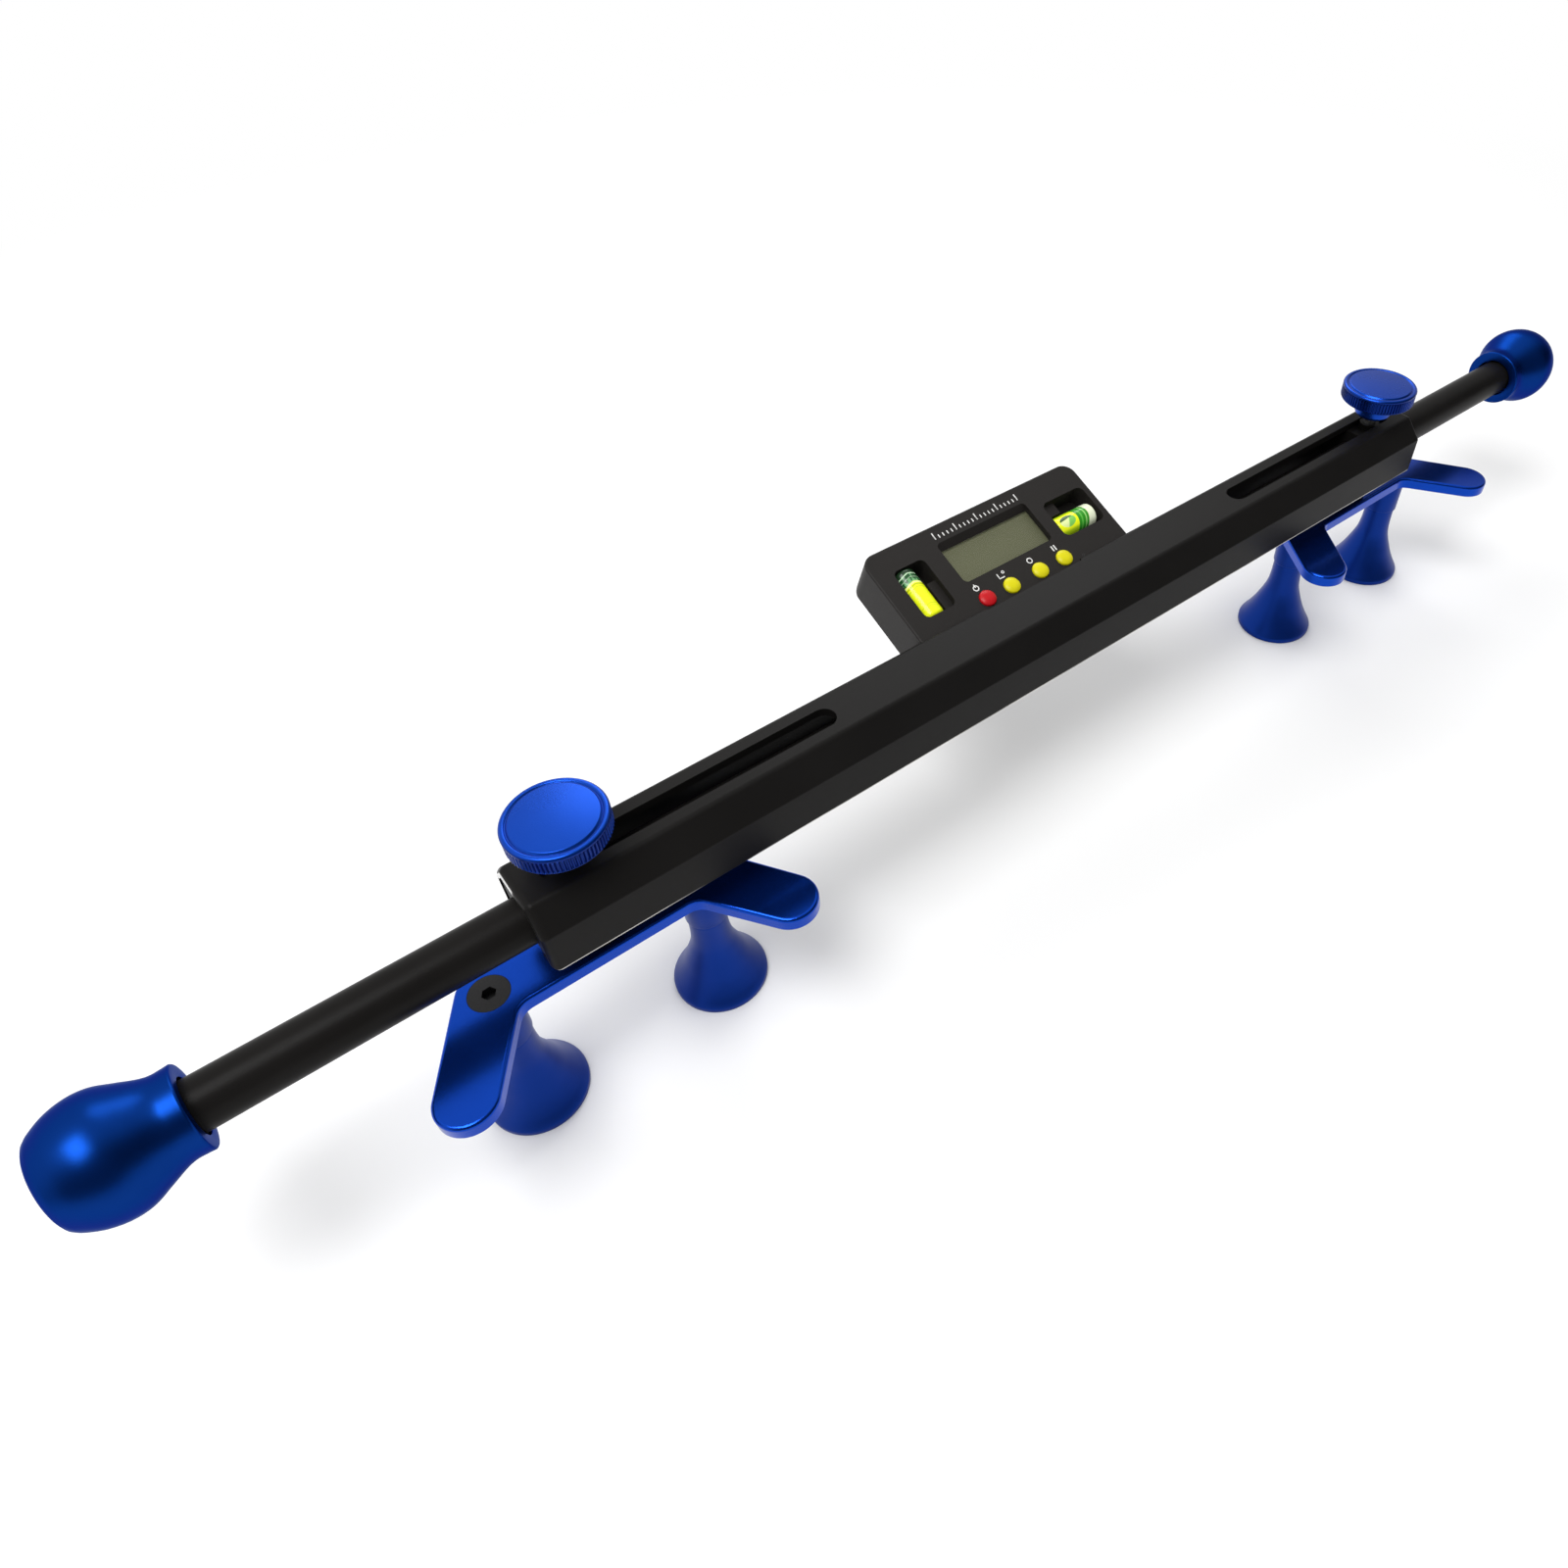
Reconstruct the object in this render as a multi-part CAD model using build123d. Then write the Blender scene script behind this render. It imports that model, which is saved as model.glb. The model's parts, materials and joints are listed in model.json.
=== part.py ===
from build123d import *
import os
from math import cos, hypot, radians, sin

# A steering wheel level: a long black bar that carries a tilted digital
# level unit, a rod with two bulb handles that slides through the bar, and
# two carriages that slide along the bar, each clamped by a thumbscrew and
# each carrying a swivelling bracket with two bell shaped feet.
# Millimetres. X runs along the bar, Y to its back, Z up. The origin lies
# midway between the four feet, on the plane that they stand on.

os.makedirs("parts", exist_ok=True)

# Cuts run past the material by this much.
OVERRUN = 1.0

# Bar: an open-bottomed aluminium section with two slots in its flat top.
BAR_LENGTH = 413.0
BAR_HEIGHT = 23.5
BAR_HALF = 16.2
BAR_FLAT_HALF = 8.9
BAR_SHOULDER_DROP = 8.0
BAR_TOP_WALL = 3.0
BAR_SIDE_WALL = 2.8
BAR_LIP_THICK = 2.2
BAR_OPENING_HALF = 9.2
BAR_EDGE_RADIUS = 0.8
BAR_CREASE_RADIUS = 2.4
BAR_END_RADIUS = 2.4
SLOT_HALF = 4.25
SLOT_END_WALL = 8.5
SLOT_INNER_SHARE = 0.2334
SLOT_OUTER_X = BAR_LENGTH / 2 - SLOT_END_WALL
SLOT_INNER_X = BAR_LENGTH * SLOT_INNER_SHARE

# Rod and handles.
ROD_R = 7.6
ROD_DROP = 15.2
ROD_CHAMFER = 0.8
ROD_RUNNING_GAP = 0.06
HANDLE_FROM_BAR = 87.7
HANDLE_FACE_X = BAR_LENGTH / 2 + HANDLE_FROM_BAR
HANDLE_LENGTH = 33.0
HANDLE_MAX_R = 17.0
HANDLE_WAIST_R = 12.1
HANDLE_COLLAR_R = 12.3
HANDLE_COLLAR_BEVEL = 0.5
HANDLE_TIP_R = 10.8
HANDLE_TIP_DOME = 0.6
HANDLE_MOUTH_R = 8.4
HANDLE_MOUTH_DEPTH = 5.5
HANDLE_ROD_DEPTH = 23.5
HANDLE_FIT_GAP = 0.02
# Along the handle from its waist to its tip rim: share of that length,
# and share of the swell from the waist to the widest place.
HANDLE_CURVE_SHARES = [(0.10, 0.14), (0.257, 0.53), (0.428, 0.93), (0.596, 1.0),
                       (0.767, 0.79), (0.913, 0.38)]
HANDLE_WAIST_SHARE = 0.15
HANDLE_TIP_SWELL_SHARE = 0.72

# Bushes in the bar's ends, which the rod slides in.
BUSH_LENGTH = 4.5
BUSH_RECESS = 0.5
BUSH_FIT_GAP = 0.03

# Carriages.
CARRIAGE_FROM_END = 17.9
CARRIAGE_X = BAR_LENGTH / 2 - CARRIAGE_FROM_END
CARRIAGE_HALF_LENGTH = 9.0
CARRIAGE_GAP = 0.15
RIB_GAP = 0.2
RIB_BELOW_TOP = 0.4
TONGUE_BELOW_BAR = 0.9
NECK_R = 7.0
SPIGOT_R = 6.0
SPIGOT_GAP = 0.05
PIVOT_PLAY = 0.05

# Thumbscrews.
STUD_R = 2.5
STUD_GAP = 0.05
STUD_IN_HEAD = 8.0
STUD_TIP_CHAMFER = 0.4
PAD_THICK = 1.2
PAD_R = 2.4
PAD_GAP = 0.04
KNOB_HUB_BOTTOM = 3.6
KNOB_HUB_BEVEL = 1.1
KNOB_HUB_R = 7.6
KNOB_DISC_BOTTOM = 10.7
KNOB_DISC_BEVEL = 0.7
KNOB_KNURL_R = 15.0
KNOB_KNURL_TOP = 15.5
KNOB_RIM_R = 15.4
KNOB_RIM_STEP = 0.4
KNOB_TOP = 17.5
KNOB_RIM_BEVEL = 1.4
KNOB_GROOVE_R = 12.9
KNOB_GROOVE_WIDTH = 0.6
KNOB_GROOVE_DEPTH = 0.6
KNOB_TOP_SINK = 0.2

# Brackets.
PLATE_THICK = 4.8
PLATE_GAP_TO_BAR = 12.9
PLATE_INNER_HALF = 9.1
PLATE_OUTER_HALF = 10.7
PLATE_EDGE_RADIUS = 1.2
PLATE_CORNER_RADIUS = 6.0
FOOT_OFFSET = 34.8
ARM_LENGTH = 32.2
ARM_ANGLE = 34.0
ARM_HALF = 9.35

# Pivot screw and washer under each bracket.
WASHER_R = 7.5
WASHER_THICK = 1.0
PIVOT_SCREW_R = 2.5
PIVOT_SCREW_HEAD_R = 4.7
PIVOT_SCREW_HEAD_HEIGHT = 2.8
PIVOT_SCREW_DEPTH = 12.0
PIVOT_SCREW_ROUNDING = 0.9
PIVOT_SCREW_SOCKET_R = 1.75
PIVOT_SCREW_SOCKET_DEPTH = 1.6
SCREW_GAP = 0.05

# Spacers and bell feet, and the countersunk screws that hold them.
SPACER_HEIGHT = 16.8
SPACER_R = 7.1
SPACER_BEVEL = 0.35
FOOT_HEIGHT = 36.6
FOOT_R = 16.5
FOOT_NECK_R = 6.5
FOOT_NECK_STRAIGHT = 2.0
FOOT_BEVEL = 0.5
FOOT_RIM_HEIGHT = 1.8
FOOT_SCREW_DEPTH = 14.0
FOOT_SCREW_R = 3.0
FOOT_SCREW_HEAD_R = 6.25
FOOT_SCREW_HEAD_RIM = 0.5
FOOT_SCREW_GAP = 0.1
FOOT_SCREW_SOCKET_R = 2.3
FOOT_SCREW_SOCKET_DEPTH = 2.4
FOOT_HOLE_EXTRA = 1.0
# From the straight neck down to the rim: share of that height, and share
# of the swell from the neck to the rim.
FOOT_CURVE_SHARES = [(0.20, 0.02), (0.355, 0.08), (0.49, 0.21), (0.61, 0.36), (0.72, 0.51),
                     (0.81, 0.655), (0.89, 0.80), (0.95, 0.92)]

# Digital level unit. Its own frame: x along the bar, y up the tilted face
# from the face's front edge, z out of the face.
UNIT_X = -1.5
UNIT_HALF = 50.8
UNIT_DEPTH = 40.0
UNIT_THICK = 17.6
FACE_TILT = 23.0
FACE_DROP = 2.8
UNIT_CORNER_R = 5.5
UNIT_FRONT_R = 0.8
UNIT_BACK_R = 5.0
UNIT_EDGE_R = 0.8
FACE_WALL = 2.4
NOTCH_DEPTH = 9.0
NOTCH_GAP = 0.1
SCALLOP_HALF = 23.5
SCALLOP_DEPTH = 1.2
SCALLOP_RADIUS = 1.0
SCALLOP_ABOVE_FACE = 0.2

# Unit's cavity, cover and inner pieces.
CAVITY_HALF = 25.6
CAVITY_FRONT = 1.1
CAVITY_BACK_WALL = 2.4
CAVITY_UPPER_DEPTH = 6.6
CAVITY_LOWER_HALF = 20.0
CAVITY_LOWER_FRONT = 7.0
COVER_HALF = 25.0
COVER_FRONT = 6.4
COVER_BACK_WALL = 3.4
COVER_THICK = 2.2
COVER_GAP = 0.1
COVER_CORNER_R = 2.0
COVER_SCREW_X = 22.6
COVER_SCREW_INSET = 3.0
COVER_SCREW_R = 1.0
COVER_SCREW_HEAD_R = 1.9
COVER_SCREW_HEAD_RIM = 0.2
COVER_SCREW_LENGTH = 6.5
COVER_SCREW_SLOT = 0.5
COVER_SCREW_SLOT_DEPTH = 0.5
BOARD_HALF = 25.3
BOARD_THICK = 1.2
BOARD_GAP = 0.3
WINDOW_THICK = 1.0
WINDOW_HALF = 23.3
WINDOW_MARGIN = 1.4
PANEL_THICK = 1.6
LCD_HALF = 21.5
LCD_FRONT_SHARE = 0.3475
LCD_BACK_SHARE = 0.75
LCD_BEVEL_BACK_SHARE = 0.8125
LCD_FRONT = UNIT_DEPTH * LCD_FRONT_SHARE
LCD_BACK = UNIT_DEPTH * LCD_BACK_SHARE
LCD_BEVEL_BACK = UNIT_DEPTH * LCD_BEVEL_BACK_SHARE
LCD_CORNER_R = 2.0
LID_R_SHARE = 0.31
LID_R = UNIT_DEPTH * LID_R_SHARE
LID_GAP = 0.12
LID_SLOT_SHARE = 0.565
LID_SLOT_LENGTH = LID_R * LID_SLOT_SHARE * 2
LID_SLOT_WIDTH = 1.8
LID_SLOT_DEPTH = 0.8
CELL_R_SHARE = 0.25
CELL_R = UNIT_DEPTH * CELL_R_SHARE
CELL_THICK = 3.2
CELL_RING_GAP = 0.3
CELL_RING_WALL = 1.5
CELL_RING_HEIGHT = 3.0
CELL_Y_SHARE = 0.54
CELL_Y = UNIT_DEPTH * CELL_Y_SHARE
CELL_EDGE = 0.3

# Unit's buttons.
BUTTON_X = [-18.1, -6.4, 7.7, 19.8]
BUTTON_NAMES = ["button_power", "button_unit", "button_zero", "button_hold"]
BUTTON_Y = 4.9
BUTTON_R = 3.3
BUTTON_HOLE_GAP = 0.12
BUTTON_FLANGE = 0.4
BUTTON_FLANGE_THICK = 0.7
BUTTON_RISE = 1.5
BUTTON_ROUNDING = 0.9
BUTTON_STEM_R = 1.2
BUTTON_TRAVEL = 0.6
BUTTON_PLAY = 0.05
SWITCH_R = 2.2
SWITCH_HEIGHT = 0.6

# Unit's bubble vials, which lie open in two wells.
VIAL_R = 4.6
VIAL_BORE_R = 3.8
VIAL_DEPTH = 4.8
VIAL_END_WALL = 1.2
VIAL_PLUG = 2.6
VIAL_PLUG_SPIGOT = 1.5
VIAL_GAP = 0.25
VIAL_END_R = 1.5
VIAL_FLUID_GAP = 0.03
VIAL_BUBBLE_R = 2.0
VIAL_SEAT_GAP = 0.05
# A well is its low and high x, and its low and high place up the face.
LEFT_WELL_X = [-43.2, -29.4]
LEFT_WELL_SHARES = [0.215, 0.75]
LEFT_WELL = [*LEFT_WELL_X, *[UNIT_DEPTH * share for share in LEFT_WELL_SHARES]]
LEFT_WELL_R = 2.4
LEFT_VIAL_SIDE_GAP = 0.4
RIGHT_WELL_X = [27.2, 47.8]
RIGHT_WELL_SHARES = [0.295, 0.705]
RIGHT_WELL = [*RIGHT_WELL_X, *[UNIT_DEPTH * share for share in RIGHT_WELL_SHARES]]
RIGHT_WELL_R = 2.6
RIGHT_VIAL_FRONT_GAP = 1.5
RIGHT_VIAL_END_GAP = 1.2
# Ledge in each well beside its vial.
LEDGE_BELOW_FACE = 2.7
LEDGE_GAP = 0.5
LEFT_LEDGE_SHARE = 0.6
RIGHT_LEDGE_SHARE = 0.34

# Screws from inside the bar's back wall into the unit.
UNIT_SCREW_X = 34.0
UNIT_SCREW_DROP = 14.2
UNIT_SCREW_R = 1.45
UNIT_SCREW_HEAD_R = 2.7
UNIT_SCREW_HEAD_HEIGHT = 1.8
UNIT_SCREW_LENGTH = 8.6
UNIT_SCREW_SOCKET_R = 1.2
UNIT_SCREW_SOCKET_DEPTH = 1.0

# Heights that the sizes above add up to.
PLATE_BOTTOM = FOOT_HEIGHT + SPACER_HEIGHT
PLATE_TOP = PLATE_BOTTOM + PLATE_THICK
BAR_BOTTOM = PLATE_TOP + PLATE_GAP_TO_BAR
BAR_TOP = BAR_BOTTOM + BAR_HEIGHT
ROD_Z = BAR_TOP - ROD_DROP
ROD_BORE_R = ROD_R + ROD_RUNNING_GAP
HEX_SIDES = 6


def flat_face(points):
    return make_face(Polyline(*points, close=True))


def prism_x(points, start, end):
    """Solid between two x places, with a section of (y, z) points."""
    section = flat_face([(0, y, z) for y, z in points])
    return Pos(start, 0, 0) * extrude(section, amount=end - start, dir=(1, 0, 0))


def turned(points):
    """Solid of (radius, z) points turned about the z axis."""
    return revolve(flat_face([(r, 0, z) for r, z in points]), axis=Axis.Z)


def disc(radius, low, high):
    """Upright cylinder between two heights."""
    return Pos(0, 0, low) * extrude(Circle(radius), amount=high - low)


def block(x0, x1, y0, y1, z0, z1):
    """Box between two corners."""
    size = Box(x1 - x0, y1 - y0, z1 - z0)
    return Pos((x0 + x1) / 2, (y0 + y1) / 2, (z0 + z1) / 2) * size


def rounded_block(x0, x1, y0, y1, z0, z1, radius):
    """Box between two corners with rounded upright edges."""
    plan = RectangleRounded(x1 - x0, y1 - y0, radius)
    place = Pos((x0 + x1) / 2, (y0 + y1) / 2, z0)
    return place * extrude(plan, amount=z1 - z0)


def hex_socket(radius, low, high):
    plan = RegularPolygon(radius, HEX_SIDES)
    return Pos(0, 0, low) * extrude(plan, amount=high - low)


def rod_cylinder(radius, start, end):
    """Cylinder on the rod's axis between two x places."""
    length = end - start
    turn = Rot(0, 90, 0)
    return Pos(start, 0, ROD_Z) * turn * extrude(Circle(radius), amount=length)


def save(shape, name):
    shape.label = name
    export_step(shape, f"parts/{name}.step")


# Bar.

def channel_points(inset):
    """The bar's inner outline as (y, z), drawn in by a gap on every side."""
    rise = hypot(BAR_HALF - BAR_FLAT_HALF, BAR_SHOULDER_DROP)
    normal_y = BAR_SHOULDER_DROP / rise
    normal_z = (BAR_HALF - BAR_FLAT_HALF) / rise
    side = BAR_SIDE_WALL + inset
    top = BAR_TOP_WALL + inset
    inner_half = BAR_HALF - side
    ceiling_half = BAR_FLAT_HALF + (normal_z * top - side) / normal_y
    shoulder = (side + normal_y * (inner_half - BAR_FLAT_HALF)) / normal_z
    low = BAR_BOTTOM + BAR_LIP_THICK + inset
    right = [
        (ceiling_half, BAR_TOP - top),
        (inner_half, BAR_TOP - shoulder),
        (inner_half, low),
    ]
    left = [(-y, z) for y, z in reversed(right)]
    return right + left


def outer_section():
    """The bar's outline, with its long edges rounded."""
    right = [
        (BAR_FLAT_HALF, BAR_TOP),
        (BAR_HALF, BAR_TOP - BAR_SHOULDER_DROP),
        (BAR_HALF, BAR_BOTTOM),
    ]
    left = [(-y, z) for y, z in reversed(right)]
    section = flat_face([(0, y, z) for y, z in right + left])
    section = fillet(section.vertices().group_by(Axis.Z)[-1], BAR_CREASE_RADIUS)
    sharp = [v for v in section.vertices() if abs(v.Y) > BAR_HALF - BAR_EDGE_RADIUS]
    return fillet(sharp, BAR_EDGE_RADIUS)


def make_bar():
    half = BAR_LENGTH / 2
    bar = extrude(outer_section(), amount=half, dir=(1, 0, 0), both=True)
    ends = bar.faces().filter_by(Axis.X)
    bar = fillet(ends.edges(), BAR_END_RADIUS)
    past = half + OVERRUN
    bar -= prism_x(channel_points(0), -past, past)
    bar -= block(-past, past, -BAR_OPENING_HALF, BAR_OPENING_HALF,
                 BAR_BOTTOM - OVERRUN, BAR_BOTTOM + BAR_LIP_THICK + OVERRUN)
    slot_length = SLOT_OUTER_X - SLOT_INNER_X
    slot_centre = (SLOT_OUTER_X + SLOT_INNER_X) / 2
    slot_plan = SlotOverall(slot_length, SLOT_HALF * 2)
    cutter = extrude(slot_plan, amount=BAR_TOP_WALL + OVERRUN * 2)
    for side in (-1, 1):
        low = BAR_TOP - BAR_TOP_WALL - OVERRUN
        bar -= Pos(side * slot_centre, 0, low) * cutter
    notch_half = UNIT_HALF + NOTCH_GAP
    bar -= block(UNIT_X - notch_half, UNIT_X + notch_half,
                 BAR_FLAT_HALF, BAR_HALF + OVERRUN,
                 BAR_TOP - NOTCH_DEPTH, BAR_TOP + OVERRUN)
    scallop_low = BAR_TOP - FACE_DROP + SCALLOP_ABOVE_FACE
    bar -= rounded_block(UNIT_X - SCALLOP_HALF, UNIT_X + SCALLOP_HALF,
                         BAR_FLAT_HALF - SCALLOP_DEPTH,
                         BAR_FLAT_HALF + SCALLOP_RADIUS * 2,
                         scallop_low, BAR_TOP + OVERRUN, SCALLOP_RADIUS)
    for place in unit_screw_places():
        length = BAR_SIDE_WALL + OVERRUN * 2
        hole = extrude(Circle(UNIT_SCREW_R + SCREW_GAP), amount=length)
        start = Pos(place, BAR_HALF + OVERRUN, BAR_TOP - UNIT_SCREW_DROP)
        bar -= start * Rot(90, 0, 0) * hole
    return bar


def unit_screw_places():
    return [UNIT_X - UNIT_SCREW_X, UNIT_X + UNIT_SCREW_X]


def make_bush(side):
    outer = BAR_LENGTH / 2 - BUSH_RECESS
    inner = outer - BUSH_LENGTH
    tongue = BAR_OPENING_HALF - BUSH_FIT_GAP
    bush = prism_x(channel_points(BUSH_FIT_GAP), inner, outer)
    bush += block(inner, outer, -tongue, tongue, BAR_BOTTOM, ROD_Z)
    bush -= rod_cylinder(ROD_BORE_R, inner - OVERRUN, outer + OVERRUN)
    if side < 0:
        bush = mirror(bush, about=Plane.YZ)
    return bush


# Rod and handles.

def make_rod():
    end = HANDLE_FACE_X + HANDLE_ROD_DEPTH
    rod = rod_cylinder(ROD_R, -end, end)
    return chamfer(rod.edges().filter_by(GeomType.CIRCLE), ROD_CHAMFER)


def make_handle(side):
    waist = HANDLE_LENGTH * HANDLE_WAIST_SHARE
    tip = HANDLE_LENGTH - HANDLE_TIP_DOME
    swell = HANDLE_MAX_R - HANDLE_WAIST_R
    body = tip - waist
    curve = [(waist, HANDLE_WAIST_R)]
    for along, share in HANDLE_CURVE_SHARES:
        curve.append((waist + body * along, HANDLE_WAIST_R + swell * share))
    tip_start = HANDLE_TIP_R + (HANDLE_MAX_R - HANDLE_TIP_R) * (1 - HANDLE_TIP_SWELL_SHARE)
    curve.append((tip - HANDLE_TIP_DOME, tip_start))
    curve.append((tip, HANDLE_TIP_R))
    points = [(x, 0, r) for x, r in curve]
    collar = [
        (0, 0, HANDLE_MOUTH_R),
        (0, 0, HANDLE_COLLAR_R - HANDLE_COLLAR_BEVEL),
        (HANDLE_COLLAR_BEVEL, 0, HANDLE_COLLAR_R),
    ]
    slope = (HANDLE_WAIST_R - HANDLE_COLLAR_R) / waist * 2
    neck = Spline([collar[-1], points[0]], tangents=[(1, 0, slope), (1, 0, 0)])
    bulb = Spline(points[:-1], tangents=[(1, 0, 0), (1, 0, -1)])
    dome_start = points[-1]
    dome_end = (HANDLE_LENGTH, 0, 0)
    bore_r = ROD_R + HANDLE_FIT_GAP
    bore_end = HANDLE_ROD_DEPTH + HANDLE_FIT_GAP
    mouth = HANDLE_MOUTH_DEPTH
    path = [
        Polyline(*collar),
        neck,
        bulb,
        Polyline(points[-2], dome_start, dome_end, (bore_end, 0, 0)),
        Polyline((bore_end, 0, 0), (bore_end, 0, bore_r), (mouth, 0, bore_r),
                 (mouth, 0, HANDLE_MOUTH_R), collar[0]),
    ]
    face = make_face(Curve() + path)
    handle = Pos(HANDLE_FACE_X, 0, ROD_Z) * revolve(face, axis=Axis.X)
    if side < 0:
        handle = mirror(handle, about=Plane.YZ)
    return handle


# Carriages and thumbscrews, made at x = 0 and moved to their places.

def make_carriage():
    half = CARRIAGE_HALF_LENGTH
    tongue = BAR_OPENING_HALF - CARRIAGE_GAP
    tongue_low = BAR_BOTTOM - TONGUE_BELOW_BAR
    body = prism_x(channel_points(CARRIAGE_GAP), -half, half)
    body += block(-half, half, -tongue, tongue, tongue_low, ROD_Z)
    rib_top = BAR_TOP - RIB_BELOW_TOP
    body += disc(SLOT_HALF - RIB_GAP, ROD_Z, rib_top)
    body += disc(NECK_R, PLATE_TOP + PIVOT_PLAY, ROD_Z)
    body += disc(SPIGOT_R, PLATE_BOTTOM - PIVOT_PLAY, ROD_Z)
    body -= rod_cylinder(ROD_BORE_R, -half - OVERRUN, half + OVERRUN)
    body -= disc(STUD_R + STUD_GAP, ROD_Z, rib_top + OVERRUN)
    spigot_end = PLATE_BOTTOM - PIVOT_PLAY
    body -= disc(PIVOT_SCREW_R + SCREW_GAP, spigot_end - OVERRUN,
                 spigot_end + PIVOT_SCREW_DEPTH)
    return body


def pad_bottom():
    return ROD_Z + ROD_R + PAD_GAP


def make_pad():
    return disc(PAD_R, pad_bottom(), pad_bottom() + PAD_THICK)


def make_stud():
    low = pad_bottom() + PAD_THICK + PAD_GAP
    high = BAR_TOP + KNOB_HUB_BOTTOM + STUD_IN_HEAD
    stud = disc(STUD_R, low, high)
    tip = stud.edges().filter_by(GeomType.CIRCLE).sort_by(Axis.Z)[0]
    return chamfer(tip, STUD_TIP_CHAMFER)


def make_knob():
    groove_in = KNOB_GROOVE_R - KNOB_GROOVE_WIDTH
    hub_top = KNOB_DISC_BOTTOM
    stud_hole = STUD_R
    points = [
        (stud_hole, KNOB_HUB_BOTTOM),
        (KNOB_HUB_R - KNOB_HUB_BEVEL, KNOB_HUB_BOTTOM),
        (KNOB_HUB_R, KNOB_HUB_BOTTOM + KNOB_HUB_BEVEL),
        (KNOB_HUB_R, hub_top),
        (KNOB_KNURL_R - KNOB_DISC_BEVEL, hub_top),
        (KNOB_KNURL_R, hub_top + KNOB_DISC_BEVEL),
        (KNOB_KNURL_R, KNOB_KNURL_TOP),
        (KNOB_RIM_R, KNOB_KNURL_TOP + KNOB_RIM_STEP),
        (KNOB_RIM_R - KNOB_RIM_BEVEL, KNOB_TOP),
        (KNOB_GROOVE_R, KNOB_TOP),
        (KNOB_GROOVE_R, KNOB_TOP - KNOB_GROOVE_DEPTH),
        (groove_in, KNOB_TOP - KNOB_GROOVE_DEPTH),
        (groove_in, KNOB_TOP - KNOB_TOP_SINK),
        (0, KNOB_TOP - KNOB_TOP_SINK),
        (0, KNOB_HUB_BOTTOM + STUD_IN_HEAD),
        (stud_hole, KNOB_HUB_BOTTOM + STUD_IN_HEAD),
    ]
    return Pos(0, 0, BAR_TOP) * turned(points)


# Brackets, made about their pivot.

def foot_places():
    return [(-FOOT_OFFSET, 0), (FOOT_OFFSET, 0)]


def bracket_plan():
    """Shallow U: a straight middle and two splayed arms."""
    middle_half = (PLATE_INNER_HALF + PLATE_OUTER_HALF) / 2
    middle_y = (PLATE_OUTER_HALF - PLATE_INNER_HALF) / 2
    reach = ARM_LENGTH * sin(radians(ARM_ANGLE))
    drop = ARM_LENGTH * cos(radians(ARM_ANGLE))
    corners = []
    arms = []
    for side in (-1, 1):
        corner = Pos(side * FOOT_OFFSET, middle_y) * Circle(middle_half)
        end = Pos(side * (FOOT_OFFSET + reach), -drop) * Circle(ARM_HALF)
        corners.append(corner)
        arms.append(make_hull(corner.edges() + end.edges()))
    middle = make_hull(corners[0].edges() + corners[1].edges())
    plan = middle + arms[0] + arms[1]
    grown = offset(plan, PLATE_CORNER_RADIUS, kind=Kind.ARC)
    return offset(grown, -PLATE_CORNER_RADIUS, kind=Kind.ARC)


def make_bracket():
    plate = Pos(0, 0, PLATE_BOTTOM) * extrude(bracket_plan(), amount=PLATE_THICK)
    top = plate.faces().sort_by(Axis.Z)[-1]
    plate = fillet(top.edges(), PLATE_EDGE_RADIUS)
    hole = disc(SPIGOT_R + SPIGOT_GAP, PLATE_BOTTOM - OVERRUN, PLATE_TOP + OVERRUN)
    plate -= hole
    for x, y in foot_places():
        plate -= Pos(x, y) * foot_screw_body(FOOT_SCREW_GAP)
    return plate


def foot_screw_body(gap):
    """The countersunk screw, or with a gap the space that it takes."""
    cone = FOOT_SCREW_HEAD_R - FOOT_SCREW_R
    low = PLATE_BOTTOM - SPACER_HEIGHT - FOOT_SCREW_DEPTH
    over = OVERRUN if gap > 0 else 0
    points = [
        (0, PLATE_TOP + over),
        (FOOT_SCREW_HEAD_R + gap, PLATE_TOP + over),
        (FOOT_SCREW_HEAD_R + gap, PLATE_TOP - FOOT_SCREW_HEAD_RIM),
        (FOOT_SCREW_R + gap, PLATE_TOP - FOOT_SCREW_HEAD_RIM - cone),
        (FOOT_SCREW_R + gap, low - gap),
        (0, low - gap),
    ]
    return turned(points)


def make_foot_screws():
    socket = hex_socket(FOOT_SCREW_SOCKET_R, PLATE_TOP - FOOT_SCREW_SOCKET_DEPTH,
                        PLATE_TOP + OVERRUN)
    screw = foot_screw_body(0) - socket
    return Compound(children=[Pos(x, y) * screw for x, y in foot_places()])


def make_spacer():
    low = FOOT_HEIGHT
    spacer = disc(SPACER_R, low, PLATE_BOTTOM)
    rims = spacer.edges().filter_by(GeomType.CIRCLE)
    spacer = chamfer(rims, SPACER_BEVEL)
    return spacer - foot_screw_body(FOOT_SCREW_GAP)


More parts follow.
